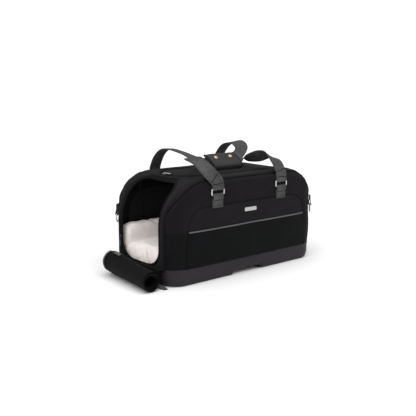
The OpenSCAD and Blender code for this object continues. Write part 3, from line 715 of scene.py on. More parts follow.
def sidePanel(label, side, seed):
    turn = math.radians(body["seamTurn"])
    angles = np.linspace(turn, math.pi / 2, 15)
    plan = [(cornerX + body["planRadius"] * math.cos(a), cornerY + body["planRadius"] * math.sin(a),
             math.cos(a), math.sin(a), a) for a in angles]
    flat = [(x, body["halfWidth"], 0.0, 1.0, math.pi / 2) for x in np.linspace(cornerX, -cornerX, 61)[1:-1]]
    columns = plan + flat + [(-x, y, -nx, ny, a) for x, y, nx, ny, a in reversed(plan)]
    r, drop = 0.016, body["seamDrop"]
    tilt = math.acos(1 - body["seamIn"] / r)
    grid, inner, layout, run = [], [], [], 0.0
    for i, (x, y, nx, ny, a) in enumerate(columns):
        if i:
            run += math.hypot(x - columns[i - 1][0], y - columns[i - 1][1])
        pull = body["seamIn"] if a > math.radians(31) else body["seamIn"] * (a - turn) / math.radians(6)
        topX = abs(x - nx * pull)
        over = max(0.0, topX - shoulderX)
        topZ = shoulderZ + math.sqrt(max(0.0, (body["shoulderRadius"] - drop) ** 2 - over ** 2))
        wallZ = topZ - r * math.sin(tilt) * pull / body["seamIn"]
        rows = [body["trayTop"] - 0.003 + (wallZ - body["trayTop"] + 0.003) * t
                for t in np.linspace(0, 1, 30)] + [None] * 6
        outer, back = [], []
        for j, z in enumerate(rows):
            inset = 0.0
            if z is None:
                phi = tilt * (j - 29) / 6
                inset = r * (1 - math.cos(phi)) * pull / body["seamIn"]
                z = wallZ + r * math.sin(phi) * pull / body["seamIn"]
            outer.append((x - nx * inset, side * (y - ny * inset), z))
            back.append((x - nx * (inset + body["wall"]), side * (y - ny * (inset + body["wall"])), z))
            layout.append((run, z))
        grid.append(outer)
        inner.append(back)
    grid, inner = np.array(grid), np.array(inner)
    n, m = len(columns), 36
    edge = np.minimum.outer(np.minimum(np.arange(n), np.arange(n)[::-1]), np.full(m, 99)) / 6.0
    edge = np.clip(np.minimum(edge, np.minimum(np.arange(m)[None], np.arange(m)[None, ::-1]) / 5.0), 0, 1)
    swell = (0.0024 + 0.0014 * ripple(grid.reshape(-1, 3), 0.09, seed).reshape(n, m)) * edge ** 0.8
    swell -= 0.0016 * np.exp(-((grid[:, :, 2] - 0.149) / 0.0022) ** 2) * (np.abs(grid[:, :, 0]) > 0.20)
    normals = np.array([(c[2], side * c[3], 0) for c in columns])[:, None, :]
    grid = grid + normals * swell[:, :, None]
    loops = [np.concatenate([grid[i], inner[i][::-1]]) for i in range(n)]
    wrap = []
    for i in range(n):
        rowLayout = layout[i * m:(i + 1) * m]
        wrap += rowLayout + rowLayout[::-1]
    return addPiece(label + "Side", stacked(loops), loftFaces(n, 2 * m, True, False, "strip"), sideCloth, "bag",
                    ["side_panel_" + label], wrap)


def sideMaterial():
    # smooth cloth above the cross seam, knit below it
    made, tree, shader = newMaterial("sideCloth", rough=0.87, sheen=0.03, sheenRough=0.5, specular=0.1)
    layout = addNode(tree, "ShaderNodeUVMap").outputs[0]
    height = addNode(tree, "ShaderNodeSeparateXYZ", {0: layout}).outputs[1]
    low = calc(tree, "LESS_THAN", height, cloths["seamHeight"])
    weave = placeGroup(tree, clothWeave, {"Layout": layout, "Pitch": cloths["weavePitch"]})
    knit = placeGroup(tree, spacerKnit, {"Layout": layout, "Pitch": cloths["knitPitch"], "Hole": cloths["knitHole"]})
    yarn = placeGroup(tree, heatherYarn, {"Layout": layout, "Light": cloths["shellLight"],
                                          "Dark": cloths["shellDark"]})
    dark = placeGroup(tree, heatherYarn, {"Layout": layout, "Light": cloths["knitLight"],
                                          "Dark": cloths["knitDark"], "Fleck": 700.0})
    settled = placeGroup(tree, settledDust, {"Amount": 0.011})
    plain = mixColour(tree, spread(tree, weave.outputs["Height"], 0.0, 0.35), yarn.outputs["Colour"],
                      cloths["shellDark"])
    dimpled = mixColour(tree, knit.outputs["Height"], cloths["knitDark"], dark.outputs["Colour"])
    colour = mixColour(tree, low, plain, dimpled)
    colour = mixColour(tree, settled.outputs["Mask"], colour, (0.4, 0.38, 0.36, 1))
    tree.links.new(colour, shader.inputs["Base Color"])
    tree.links.new(spread(tree, yarn.outputs["Fleck"], 0.78, 0.95), shader.inputs["Roughness"])
    relief = addNode(tree, "ShaderNodeMix", {0: low, 2: weave.outputs["Height"], 3: knit.outputs["Height"]})
    bump(tree, shader, relief.outputs[0], 0.6, 0.0006)
    return made


sideCloth = sideMaterial()
sidePanel("near", -1, 21)
sidePanel("far", 1, 22)

pocket = {"half": 0.226, "flare": 0.007, "top": 0.212, "radius": 0.056, "trim": 0.149, "bulge": 0.0042}


def pocketHalf(z):
    r = pocket["radius"]
    low = pocket["half"] + pocket["flare"] * np.clip((pocket["top"] - r - z) / (pocket["top"] - r - 0.048), 0, 1)
    over = np.clip((z - (pocket["top"] - r)) / r, 0, 1)
    return np.where(z > pocket["top"] - r, pocket["half"] - r * (1 - np.sqrt(1 - over ** 2)), low)


def pocketLift(x, z):
    # how far the slack pocket stands off the bag's side
    u = np.clip(np.abs(x) / pocketHalf(z), 0, 1)
    v = np.clip((z - 0.048) / (pocket["top"] - 0.048), 0, 1)
    full = (1 - u ** 6) * (1 - (2 * v - 0.9) ** 4 * 0.55)
    slack = 1 + 0.25 * np.sin(x * 21 + z * 30) + 0.15 * np.sin(x * 47 - z * 55)
    return 0.0026 + pocket["bulge"] * np.clip(full, 0, 1) * slack


def sideSurface(x, z, side, out):
    over = np.clip(np.abs(x) - cornerX, 0, None)
    y = cornerY + np.sqrt(np.clip((body["planRadius"] + out) ** 2 - over ** 2, 0, None))
    return np.stack([x, side * y, z], -1)


def pocketPatch(name, side, z0, z1, inset, extra, thick, material, standsFor, edgeDip=0.0):
    rows, cols = 26, 72
    t = np.linspace(0, 1, rows)
    z = z0 + (z1 - z0) * (np.sin(t * math.pi / 2) if z1 > 0.2 else t)
    u = np.sin(np.linspace(-1, 1, cols) * math.pi / 2) * 0.35 + np.linspace(-1, 1, cols) * 0.65
    loops, layout = [], []
    for j in range(rows):
        x = u * (pocketHalf(z[j]) - inset)
        rim = min(j, rows - 1 - j) < 1
        lift = pocketLift(x, np.full(cols, z[j])) + extra
        fold = np.where((np.arange(cols) < 1) | (np.arange(cols) > cols - 2) | rim, edgeDip, 0.0)
        outer = sideSurface(x, np.full(cols, z[j]), side, lift - fold)
        inner = sideSurface(x, np.full(cols, z[j]), side, lift - thick)
        loops.append(np.concatenate([outer, inner[::-1]]))
        flat = [(a, z[j]) for a in x]
        layout += flat + flat[::-1]
    return addPiece(name, stacked(loops), loftFaces(rows, 2 * cols, True, False, "strip"), material, "bag",
                    standsFor, layout)


for side, label in ((-1, "near"), (1, "far")):
    pocketPatch(label + "Pocket", side, 0.0482, pocket["top"], 0.0, 0.0, 0.0022, shell,
                ["pocket_" + label], 0.0006)
    pocketPatch(label + "KnitPocket", side, 0.0484, pocket["trim"] - 0.002, 0.003, 0.0014, 0.0013, knitLow,
                ["mesh_pocket_" + label], 0.0004)
    pocketPatch(label + "BrightTrim", side, pocket["trim"] - 0.002, pocket["trim"] + 0.0018, 0.002, 0.0020,
                0.0018, reflective, ["pocket_trim_" + label], 0.0005)
    zs = np.concatenate([np.linspace(0.0484, 0.156, 24),
                         0.156 + 0.056 * np.sin(np.linspace(0, 1, 16)[1:] * math.pi / 2)])
    xs = pocketHalf(zs)
    top = np.linspace(1, -1, 40)[1:-1] * xs[-1]
    xAll = np.concatenate([xs, top, -xs[::-1]])
    zAll = np.concatenate([zs, np.full(len(top), pocket["top"]), zs[::-1]])
    lift = pocketLift(xAll, zAll)
    tube(label + "PocketBinding", sideSurface(xAll, zAll, side, lift - 0.0006), 0.0017, pipingCloth, "bag",
         sides=8, upHint=(1, 0, 0))
print("side panels and pockets made")


# tray

def trayPiece():
    toe, tuck, height = 0.024, 0.009, body["trayTop"]
    angles = np.linspace(0, math.pi / 2, 12)
    loops, layout = [], []
    straight = np.concatenate([np.linspace(-1, -0.28, 12), np.linspace(-0.262, -0.2, 9), np.linspace(-0.15, 0.15, 9),
                               np.linspace(0.2, 0.262, 9), np.linspace(0.28, 1, 12)])

    def ring(insetX, insetY, r):
        hx, hy = body["halfLength"] - insetX, body["halfWidth"] - insetY
        cx, cy = hx - r, hy - r
        points = [(cx * k, -hy) for k in straight]
        for sx, sy, start in ((1, -1, -90), (1, 1, 0), (-1, 1, 90), (-1, -1, 180)):
            points += [(sx * cx + r * math.cos(math.radians(start + 90 * i / 10)),
                        sy * cy + r * math.sin(math.radians(start + 90 * i / 10))) for i in range(1, 10)]
            if (sx, sy) == (1, -1):
                points += [(hx, cy * k) for k in np.linspace(-1, 1, 9)]
            if (sx, sy) == (1, 1):
                points += [(-cx * k, hy) for k in straight]
            if (sx, sy) == (-1, 1):
                points += [(-hx, -cy * k) for k in np.linspace(-1, 1, 9)]
        return np.array(points)

    def arched(points, z):
        # the channel that crosses under the middle of the tray
        x = np.abs(points[:, 0])
        roofZ = 0.012 * np.clip((0.060 - x) / 0.010, 0, 1)
        lifted = roofZ + z * (height - roofZ) / height
        return np.column_stack([points, lifted])

    shape = [(0.0, 0.0, z) for z in (height + 0.0008, height - 0.001, 0.040, 0.032)]
    shape += [(toe * (1 - math.cos(a)), tuck * (1 - math.cos(a)), 0.024 * (1 - math.sin(a))) for a in angles[1:]]
    for insetX, insetY, z in shape:
        points = ring(insetX, insetY, body["planRadius"] - min(insetX, 0.012))
        loops.append(arched(points, np.full(len(points), z)))
    for share in (0.9, 0.75, 0.5, 0.25, 0.03):
        points = ring(toe, tuck, body["planRadius"] - 0.012) * (1, share)
        loops.append(arched(points, np.zeros(len(points))))
    outside = loops
    wall = 0.003
    lined = []
    for l in outside[::-1]:
        q = l.copy()
        q[:, 0] *= 1 - wall / body["halfLength"]
        q[:, 1] *= 1 - wall / body["halfWidth"]
        q[:, 2] = np.minimum(q[:, 2] + wall, height + 0.0008)
        lined.append(q)
    lined[-1][:, 2] = height + 0.0008
    # a raised lip runs round the rim, over the seam of the cloth
    lip = ring(-0.0006, -0.0012, body["planRadius"] + 0.0009)
    lipLoops = [arched(lip, np.full(len(lip), height + rise)) for rise in (0.0002, -0.0035)]
    every = [outside[0]] + lipLoops + outside[2:] + lined
    count = len(every[0])
    points = stacked(every)
    layout = [(p[0], p[2]) for p in points]
    return addPiece("traySkin", points, loftFaces(len(every), count, True, True), tray, "bag",
                    ["base_tray"], layout, sharp=40)


trayPiece()
print("tray made")


# tabs, rings and handles

handle = {"width": 0.040, "thick": 0.0026, "ringX": 0.124, "ringY": 0.1454, "ringZ": 0.242, "ringHeight": 0.0164}
roofZ, edgeY = body["top"], body["halfWidth"]
barX, barY, topBar = handle["ringX"], handle["ringY"], handle["ringZ"] + handle["ringHeight"]
gripHalf = 0.056


def ringPiece(name, x, side, bodyName, node):
    half, r, c = handle["width"] / 2 + 0.0020, 0.0021, 0.0045
    low, high = handle["ringZ"], topBar
    path = []
    for cx, cz, start in ((half - c, high - c, 0), (-half + c, high - c, 90), (-half + c, low + c, 180),
                          (half - c, low + c, 270)):
        path += [(x + cx + c * math.cos(math.radians(start + 90 * i / 6)), side * barY,
                  cz + c * math.sin(math.radians(start + 90 * i / 6))) for i in range(7)]
    return tube(name, path, r, silver, bodyName, [node], closed=True, sides=12, upHint=(0, 1, 0))


def tabPiece(name, x, side, node):
    # webbing doubled round the ring's lower bar and sewn down above the pocket
    z, r = handle["ringZ"], 0.0033
    rows = [(edgeY + 0.0034, 0.2075), (edgeY + 0.0030, 0.222), (barY - r, z - 0.006), (barY - r, z)]
    rows += [(barY - r * math.cos(a), z + r * math.sin(a)) for a in np.linspace(0, math.pi, 9)[1:-1]]
    rows += [(barY + r, z), (barY + r * 0.9, z - 0.006), (edgeY + 0.0058, 0.222), (edgeY + 0.0062, 0.2065)]
    path = smooth([(x, side * y, h) for y, h in rows], 3)
    across = np.tile([1.0, 0, 0], (len(path), 1))
    run = lengths(path)[-1]
    for n, share in enumerate((0.70, 0.93)):
        threadBar("%sStitch%d" % (name, n), path, across, run * share, handle["width"] - 0.006, -side * 0.0011, "bag")
    return ribbon(name, path, across, handle["width"] - 0.003, 0.0020, webbing, "bag", [node])


def threadBar(name, path, across, place, width, lift, bodyName):
    # a row of dense stitches across a strap, at a distance along it; lift is signed towards one face
    path, across = np.asarray(path, float), np.asarray(across, float)
    at = int(np.searchsorted(lengths(path), place))
    step = path[at + 1] - path[at - 1]
    step /= np.linalg.norm(step)
    wide = across[at] - step * (across[at] @ step)
    wide /= np.linalg.norm(wide)
    up = np.cross(step, wide)
    loops = []
    for k in np.linspace(-1, 1, 37):
        tooth = 0.00035 * (1 if int(round(k * 18)) % 2 else 0.4)
        centre = path[at] + wide * width / 2 * k
        loops.append([centre + step * a + up * b for a, b in (
            (-0.0009, 0), (-0.0006, lift + math.copysign(tooth, lift)), (0.0006, lift + math.copysign(tooth, lift)),
            (0.0009, 0))])
    layout = [(p[0], p[2]) for loop in loops for p in loop]
    addPiece(name, stacked(loops), loftFaces(len(loops), 4, True, False, "fan"), threadCloth, bodyName,
             (), layout, sharp=0)


for side, sideName in ((-1, "near"), (1, "far")):
    for x, end in ((-barX, "front"), (barX, "rear")):
        ringPiece(sideName + end.capitalize() + "Ring", x, side, sideName + "_handle", "ring_%s_%s" % (sideName, end))
        tabPiece(sideName + end.capitalize() + "Tab", x, side, "tab_%s_%s" % (sideName, end))


def ringLoop(x, side):
    # the strap's end: up behind the ring's upper bar, round it, and out at the front
    rows = [(-0.0034, 0.022), (-0.0033, 0.008), (-0.0033, 0.0), (-0.0022, -0.0025), (0.0, -0.0034),
            (0.0022, -0.0025), (0.0033, 0.0), (0.0030, 0.006)]
    return [((x, side * (barY + out), topBar + rise), (1, 0, 0)) for out, rise in rows]


def strapPiece(name, rows, side, bodyName, node):
    start, end = ringLoop(-barX, side), ringLoop(barX, side)[::-1]
    joined = start + rows + end
    points = smooth([p for p, w in joined], 6)
    wide = [joined[0][1]]
    for _, w in joined[1:]:
        wide.append(w if np.dot(w, wide[-1]) >= 0 else tuple(-np.array(w)))
    across = smooth(wide, 6)
    run = lengths(points)[-1]
    for n, place in enumerate((0.046, 0.066, run - 0.066, run - 0.046)):
        threadBar("%sStitch%d" % (name, n), points, across, place, handle["width"] - 0.003,
                  side * 0.0018, bodyName)
    return ribbon(name, points, across, handle["width"], handle["thick"], webbing, bodyName, [node],
                  crown=0.0006)


nearRows = [
    ((-barX - 0.0007, -barY - 0.0012, topBar + 0.018), (1, 0, 0.08)),
    ((-barX - 0.012, -barY + 0.0004, roofZ + 0.002), (1, 0, 0.36)),
    ((-barX - 0.033, -barY + 0.010, roofZ + 0.027), (1, -0.05, 0.40)),
    ((-barX - 0.040, -edgeY + 0.034, roofZ + 0.048), (1, 0.10, 0.35)),
    ((-barX - 0.025, -edgeY + 0.080, roofZ + 0.050), (0.9, -0.45, 0.1)),
    ((-barX + 0.024, -edgeY + 0.107, roofZ + 0.038), (0.5, -0.85, -0.35)),
    ((-gripHalf - 0.005, -edgeY + 0.118, roofZ + 0.0296), (0, -0.89, -0.45)),
    ((0, -edgeY + 0.118, roofZ + 0.029), (0, -0.89, -0.45)),
    ((gripHalf + 0.005, -edgeY + 0.118, roofZ + 0.0296), (0, -0.89, -0.45)),
    ((barX - 0.036, -edgeY + 0.100, roofZ + 0.033), (-0.2, -0.7, 0.6)),
    ((barX - 0.016, -edgeY + 0.078, roofZ + 0.038), (-0.3, -0.4, 0.85)),
    ((barX - 0.010, -edgeY + 0.044, roofZ + 0.045), (-0.8, -0.25, 0.55)),
    ((barX - 0.008, -edgeY + 0.010, roofZ + 0.028), (-1, 0, 0)),
    ((barX - 0.003, -barY + 0.0004, roofZ + 0.002), (-1, 0, 0)),
    ((barX, -barY - 0.0012, topBar + 0.018), (-1, 0, 0))]
farRows = [
    ((-barX, barY + 0.0012, topBar + 0.018), (1, 0, 0)),
    ((-barX, barY, roofZ + 0.006), (1, 0, 0)),
    ((-barX + 0.001, edgeY - 0.016, roofZ + 0.042), (1, 0.05, 0)),
    ((-barX + 0.008, edgeY - 0.046, roofZ + 0.062), (1, 0.3, -0.1)),
    ((-barX + 0.034, edgeY - 0.086, roofZ + 0.052), (0.7, 0.8, 0.1)),
    ((-gripHalf - 0.008, edgeY - 0.142, roofZ + 0.031), (0.2, 0.9, 0.4)),
    ((0, edgeY - 0.160, roofZ + 0.023), (0, 0.89, 0.45)),
    ((gripHalf + 0.008, edgeY - 0.144, roofZ + 0.031), (-0.2, 0.9, 0.35)),
    ((barX + 0.004, edgeY - 0.108, roofZ + 0.054), (-0.7, 0.75, -0.1)),
    ((barX + 0.014, edgeY - 0.070, roofZ + 0.070), (-1, 0.3, -0.2)),
    ((barX + 0.004, edgeY - 0.030, roofZ + 0.056), (-1, 0.05, 0)),
    ((barX, barY, roofZ + 0.008), (-1, 0, 0)),
    ((barX, barY + 0.0012, topBar + 0.018), (-1, 0, 0))]
strapPiece("nearStrap", nearRows, -1, "near_handle", "handle_near")
strapPiece("farStrap", farRows, 1, "far_handle", "handle_far")


grip = {"tilt": math.radians(35), "middleY": -0.022, "middleZ": 0.316, "studAcross": 0.004, "studHeight": 0.0106,
        "studX": 0.028}


def gripPlace(x, a, b):
    # a place in the grip's tilted section: a across, b up
    ca, sa = math.cos(grip["tilt"]), math.sin(grip["tilt"])
    return x, grip["middleY"] + a * ca - b * sa, grip["middleZ"] + a * sa + b * ca


def gripPiece():
    outline = smooth([(-25, -8.5), (-28, -10), (-31, -7), (-31.5, 0), (-29, 6.5), (-22, 9.8), (-8, 10.4), (8, 10.2),
                      (19, 8.6), (24, 6.6), (25.4, 4.4), (23.6, 2.6), (12, 2.7), (-4, 2.8), (-18, 2.7), (-23.5, 0.5),
                      (-24.6, -4)], 4, True) / 1000
    lengthwise = np.concatenate([[-1, -0.995, -0.975, -0.94], np.linspace(-0.9, 0.9, 25), [0.94, 0.975, 0.995, 1]])
    loops, layout = [], []
    middle = outline.mean(0)
    for k in lengthwise:
        edge = max(0.0, (abs(k) - 0.94) / 0.06)
        swell = 1 + 0.05 * (1 - k ** 4) - 0.05 * edge ** 2
        wave = 1 + 0.012 * math.sin(k * 9)
        rows = [middle + (p - middle) * (swell * wave if p[1] > 0.0028 else 1) for p in outline]
        loops.append([gripPlace(gripHalf * k, a, b) for a, b in rows])
        layout += [(gripHalf * k, a + b) for a, b in rows]
    made = addPiece("gripWrap", stacked(loops), loftFaces(len(loops), len(outline), True, False, "fan"), gripCloth,
                    "near_handle", ["grip_wrap"], layout, sharp=70)
    for k, label in ((-1, "front"), (1, "rear")):
        ring = [gripPlace(gripHalf * k * 0.985, a * 1.01, b * 1.03) for a, b in outline]
        tube("gripEdge" + label.capitalize(), ring, 0.0011, pipingCloth, "near_handle",
             closed=True, sides=8)


gripPiece()


def turned(name, rows, centre, axis, material, bodyName, standsFor=(), sides=40):
    # a lathe piece: rows of (radius, height) about an axis
    axis = np.array(axis, float) / np.linalg.norm(axis)
    side = np.cross(axis, (1.0, 0.0, 0.0) if abs(axis[0]) < 0.9 else (0.0, 1.0, 0.0))
    side /= np.linalg.norm(side)
    other = np.cross(axis, side)
    angle = np.arange(sides) * 2 * math.pi / sides
    ringDirs = np.cos(angle)[:, None] * side + np.sin(angle)[:, None] * other
    loops = [np.array(centre) + axis * h + ringDirs * r for r, h in rows]
    layout = [(r * a, h) for r, h in rows for a in angle]
    return addPiece(name, stacked(loops), loftFaces(len(rows), sides, True, False, "fan"), material, bodyName,
                    standsFor, layout, sharp=45)


snapRows = [(0.0004, -0.0006), (0.0056, -0.0006), (0.0062, 0.0), (0.0062, 0.0010), (0.0056, 0.0018),
            (0.0047, 0.0016), (0.0043, 0.0013), (0.0038, 0.0018), (0.0026, 0.0028), (0.0003, 0.0032)]
for x, label in ((-grip["studX"], "Front"), (grip["studX"], "Rear")):
    turned("gripSnap" + label, snapRows, gripPlace(x, grip["studAcross"], grip["studHeight"]),
           (0, -math.sin(grip["tilt"]), math.cos(grip["tilt"])), copper, "near_handle",
           ["grip_snaps"] if label == "Front" else ())
print("handles made")


# rolled front door

roll = {"nearX": -0.3335, "farX": -0.3165, "nearY": -0.118, "farY": 0.108, "near": 0.0305, "far": 0.0345,
        "raise": 0.009, "thick": 0.0045, "endRound": 0.028, "press": -0.2955}


def rollCentre(k):
    # middle and outer size of the roll at a share of its length
    outer = roll["near"] + (roll["far"] - roll["near"]) * k
    y = roll["nearY"] + (roll["farY"] - roll["nearY"]) * k
    toEnd = (1 - k) * (roll["farY"] - roll["nearY"])
    close = max(0.0, 1 - toEnd / roll["endRound"])
    round_ = math.sqrt(1 - 0.62 * close ** 2)
    x = roll["nearX"] + (roll["farX"] - roll["nearX"]) * k
    return np.array([x, y, outer * 0.985 + roll["raise"] * k]), outer * round_


def pressed(cloud):
    # the soft roll lies flat on the floor and flat against the bag
    x, z = cloud[..., 0], cloud[..., 2]
    cloud[..., 0] = np.where(x > roll["press"], roll["press"] + 0.25 * (x - roll["press"]), x)
    cloud[..., 2] = np.where(z < 0.0015, 0.0015 * np.exp((z - 0.0015) / 0.004), z)
    return cloud


def rollPiece():
    turns, inner, thick = 2.0, 0.0165, roll["thick"]
    n = 110
    angle = np.linspace(0, turns * 2 * math.pi, n)
    stations = np.linspace(0, 1, 44)
    loops, layout, runs = [], [], []
    for k in stations:
        centre, outerR = rollCentre(k)
        y = centre[1]
        radius = inner + (outerR - thick / 2 - inner) * (angle / angle[-1]) ** 0.8
        radius = radius * (1 + 0.03 * np.sin(3 * angle + 5 * k) * np.exp(-angle / 12))
        phase = angle - angle[-1] + math.radians(20) + 0.35 * math.sin(k * 2.2)
        skew = 0.006 * np.sin(angle * 0.7 + 1) * (k - 0.5) * 2
        squash = 1 - 0.05 * np.sin(k * 7)
        middle = np.stack([centre[0] + radius * np.cos(phase), np.full(n, y) + skew,
                           centre[2] + radius * np.sin(phase) * squash], -1)
        out = np.stack([np.cos(phase), np.zeros(n), np.sin(phase)], -1)
        dent = 0.0008 * ripple(middle, 0.05, 31)[:, None]
        half = thick / 2 * np.clip(np.minimum(np.arange(n), np.arange(n)[::-1]) / 1.5 + 0.35, 0, 1)[:, None]
        endRound = min(1.0, 0.45 + 8 * min(k, 1 - k) * 3)
        a, b = middle + out * (half * endRound + dent), middle - out * (half * endRound - dent)
        run = lengths(middle)
        runs.append(run[-1])
        loops.append(np.concatenate([a, b[::-1]]))
        flat = [(y, r) for r in run]
        layout += flat + flat[::-1]
    loops = [pressed(loop) for loop in loops]
    made = addPiece("doorRoll", stacked(loops), loftFaces(len(loops), 2 * n, True, False, "strip"), rollCloth,
                    "front_door", ["door_roll"], layout, sharp=65)
    return made, float(np.mean(runs))


rollMade, rollLength = rollPiece()


def rollHighlightStrip(name, k0, k1, angle0, angle1, bow):
    # painted highlight: a bright strip on the roll's outer turn, where light catches the rounded roll
    across, along = 8, 22
    loops, layout = [], []
    for j in range(along + 1):
        t = j / along
        turn = math.radians(angle0 + (angle1 - angle0) * t)
        lane = []
        for side, off in ((1, 0.0012), (-1, -0.0012)):
            row = []
            for i in range(across + 1):
                k = k0 + (k1 - k0) * i / across - bow * (2 * t - 1) ** 2
                centre, outerR = rollCentre(k)
                edge = min(1.0, 0.2 + 2.0 * min(i, across - i) / across, 0.2 + 3.0 * min(t, 1 - t))
                reach = outerR + (0.0012 * edge if side > 0 else -0.0012)
                squash = 1 - 0.05 * math.sin(k * 7)
                row.append(centre + reach * np.array([math.cos(turn), 0, math.sin(turn) * squash]))
                layout.append((k * 0.26, turn * 0.03))
            lane += row if side > 0 else row[::-1]
        loops.append(lane)
    cloud = pressed(np.array(loops))
    addPiece(name, cloud.reshape(-1, 3), loftFaces(along + 1, 2 * across + 2, True, False, "strip"), rollHighlightPaint,
             "front_door", (), layout)


# painted highlights: one round the roll's far end, one along its top
rollHighlightStrip("rollEndHighlight", 0.90, 0.935, 105, 215, 0.03)
rollHighlightStrip("rollTopHighlight", 0.66, 0.80, 96, 112, 0.0)


def flapPiece():
    # the door's last stretch, from the sill of the mouth down into the roll
    rows = smooth([(-0.2868, 0.0500), (-0.2892, 0.0500), (-0.2915, 0.049), (-0.2925, 0.044), (-0.2922, 0.030),
                   (-0.2905, 0.016), (-0.2925, 0.0085)], 6)
    cols = 50
    loops, layout = [], []
    run = lengths(rows)
    for u in np.linspace(-1, 1, cols):
        y = u * 0.106
        wave = 0.0012 * math.sin(u * 5) + 0.0009 * math.sin(u * 11 + 1)
        edge = min(1.0, (1 - abs(u)) * 14 + 0.3)
        fade = np.sin(np.linspace(0, 1, len(rows)) * math.pi)
        mid = rows + np.stack([wave * fade, np.zeros(len(rows))], -1)
        step = np.gradient(mid, axis=0)
        step /= np.linalg.norm(step, axis=1)[:, None]
        normal = np.stack([-step[:, 1], step[:, 0]], -1)
        yy = y + 0.008 * (run / run[-1])
        a, b = mid + normal * 0.0014 * edge, mid - normal * 0.0014 * edge
        front, back = ([(p[0], yy[i], p[1]) for i, p in enumerate(face)] for face in (a, b))
        loops.append(front + back[::-1])
        flat = [(y, r) for r in run]
        layout += flat + flat[::-1]
    return addPiece("doorFlap", stacked(loops), loftFaces(cols, 2 * len(rows), True, False, "strip"), rollCloth,
                    "front_door", ["door_flap"], layout, sharp=65), run[-1]


flapMade, flapLength = flapPiece()
print("rolled door made")


# bed

bed = {"floor": 0.0195, "pad": 0.084, "bolster": 0.1415, "reach": 0.0240, "low": 0.046, "frontX": -0.273,
       "square": 0.62, "voxel": 0.0055, "pressure": 5.0, "frames": 18, "mostMove": 0.009,
       "roomX": (-0.2830, 0.2765), "roomY": 0.1315}


def bedBlank():
    # plain blank of the bed, before the cloth is blown up: a pad with a bolster round three of its sides
    solid = bmesh.new()

    def addLoft(loops, caps="fan", along=False):
        size = len(loops[0])
        verts = [solid.verts.new(tuple(p)) for loop in loops for p in loop]
        for face in loftFaces(len(loops), size, True, along, caps):
            solid.faces.new([verts[i] for i in face])

    padLoops = []
    for inset, z in ((0.016, bed["floor"]), (0.004, bed["floor"] + 0.006), (0.0, bed["floor"] + 0.016), (0.0, 0.068),
                     (0.004, 0.077), (0.012, 0.083), (0.022, bed["pad"])):
        hx, hy, r = 0.2725 - inset, 0.128 - inset, 0.046
        loop = []
        for sx, sy, start in ((1, -1, 270), (1, 1, 0), (-1, 1, 90), (-1, -1, 180)):
            loop += [(sx * (hx - r) + r * math.cos(math.radians(start + 90 * i / 8)),
                      sy * (hy - r) + r * math.sin(math.radians(start + 90 * i / 8)), z) for i in range(9)]
        padLoops.append(loop)
    addLoft(padLoops)
    # the bolster's middle line: along the near side, round the rear, and back along the far side
    line = [(bed["frontX"], -0.1025), (-0.25, -0.1035)] + [(x, -0.1045) for x in np.linspace(-0.21, 0.20, 9)]
    line += [(0.2495 - 0.04 + 0.04 * math.sin(math.radians(a)), -0.0645 - 0.04 * math.cos(math.radians(a)))
             for a in (20, 40, 60, 80)]
    line += [(0.2495, y) for y in (-0.04, 0, 0.04)]
    line += [(0.2495 - 0.04 + 0.04 * math.sin(math.radians(a)), 0.0645 + 0.04 * math.cos(math.radians(a)))
             for a in (80, 60, 40, 20)]
    line += [(x, 0.1045) for x in np.linspace(0.20, -0.21, 9)] + [(-0.25, 0.1035), (bed["frontX"], 0.1025)]
    path = smooth(line, 5)
    run = lengths(path)
    loops = []
    step = np.gradient(path, axis=0)
    step /= np.linalg.norm(step, axis=1)[:, None]
    for p, d, s in zip(path, step, run):
        toEnd = min(s, run[-1] - s)
        k = math.sqrt(max(0.02, 1 - max(0.0, 1 - toEnd / 0.012) ** 2))
        side = np.array([-d[1], d[0]])
        high = bed["low"] + (bed["bolster"] - bed["low"]) * (0.84 + 0.16 * math.sqrt(min(1, toEnd / 0.030)))
        mid, rise = (high + bed["low"]) / 2, (high - bed["low"]) / 2
        power = bed["square"]
        loops.append([(*(p + side * bed["reach"] * k * math.copysign(abs(math.cos(t)) ** power, math.cos(t))),
                       mid + rise * k * math.copysign(abs(math.sin(t)) ** power, math.sin(t)))
                      for t in np.arange(28) * 2 * math.pi / 28])
    addLoft(loops)
    bmesh.ops.recalc_face_normals(solid, faces=solid.faces)
    mesh = bpy.data.meshes.new("bedCushion")
    solid.to_mesh(mesh)
    solid.free()
    made = bpy.data.objects.new("bedCushion", mesh)
    bpy.context.scene.collection.objects.link(made)
    return made, path


def applyModifiers(made):
    graph = bpy.context.evaluated_depsgraph_get()
    new = bpy.data.meshes.new_from_object(made.evaluated_get(graph))
    made.modifiers.clear()
    old = made.data
    made.data = new
    bpy.data.meshes.remove(old)


def points(made):
    co = np.zeros(len(made.data.vertices) * 3, np.float32)
    made.data.vertices.foreach_get("co", co)
    return co.reshape(-1, 3).astype(float)


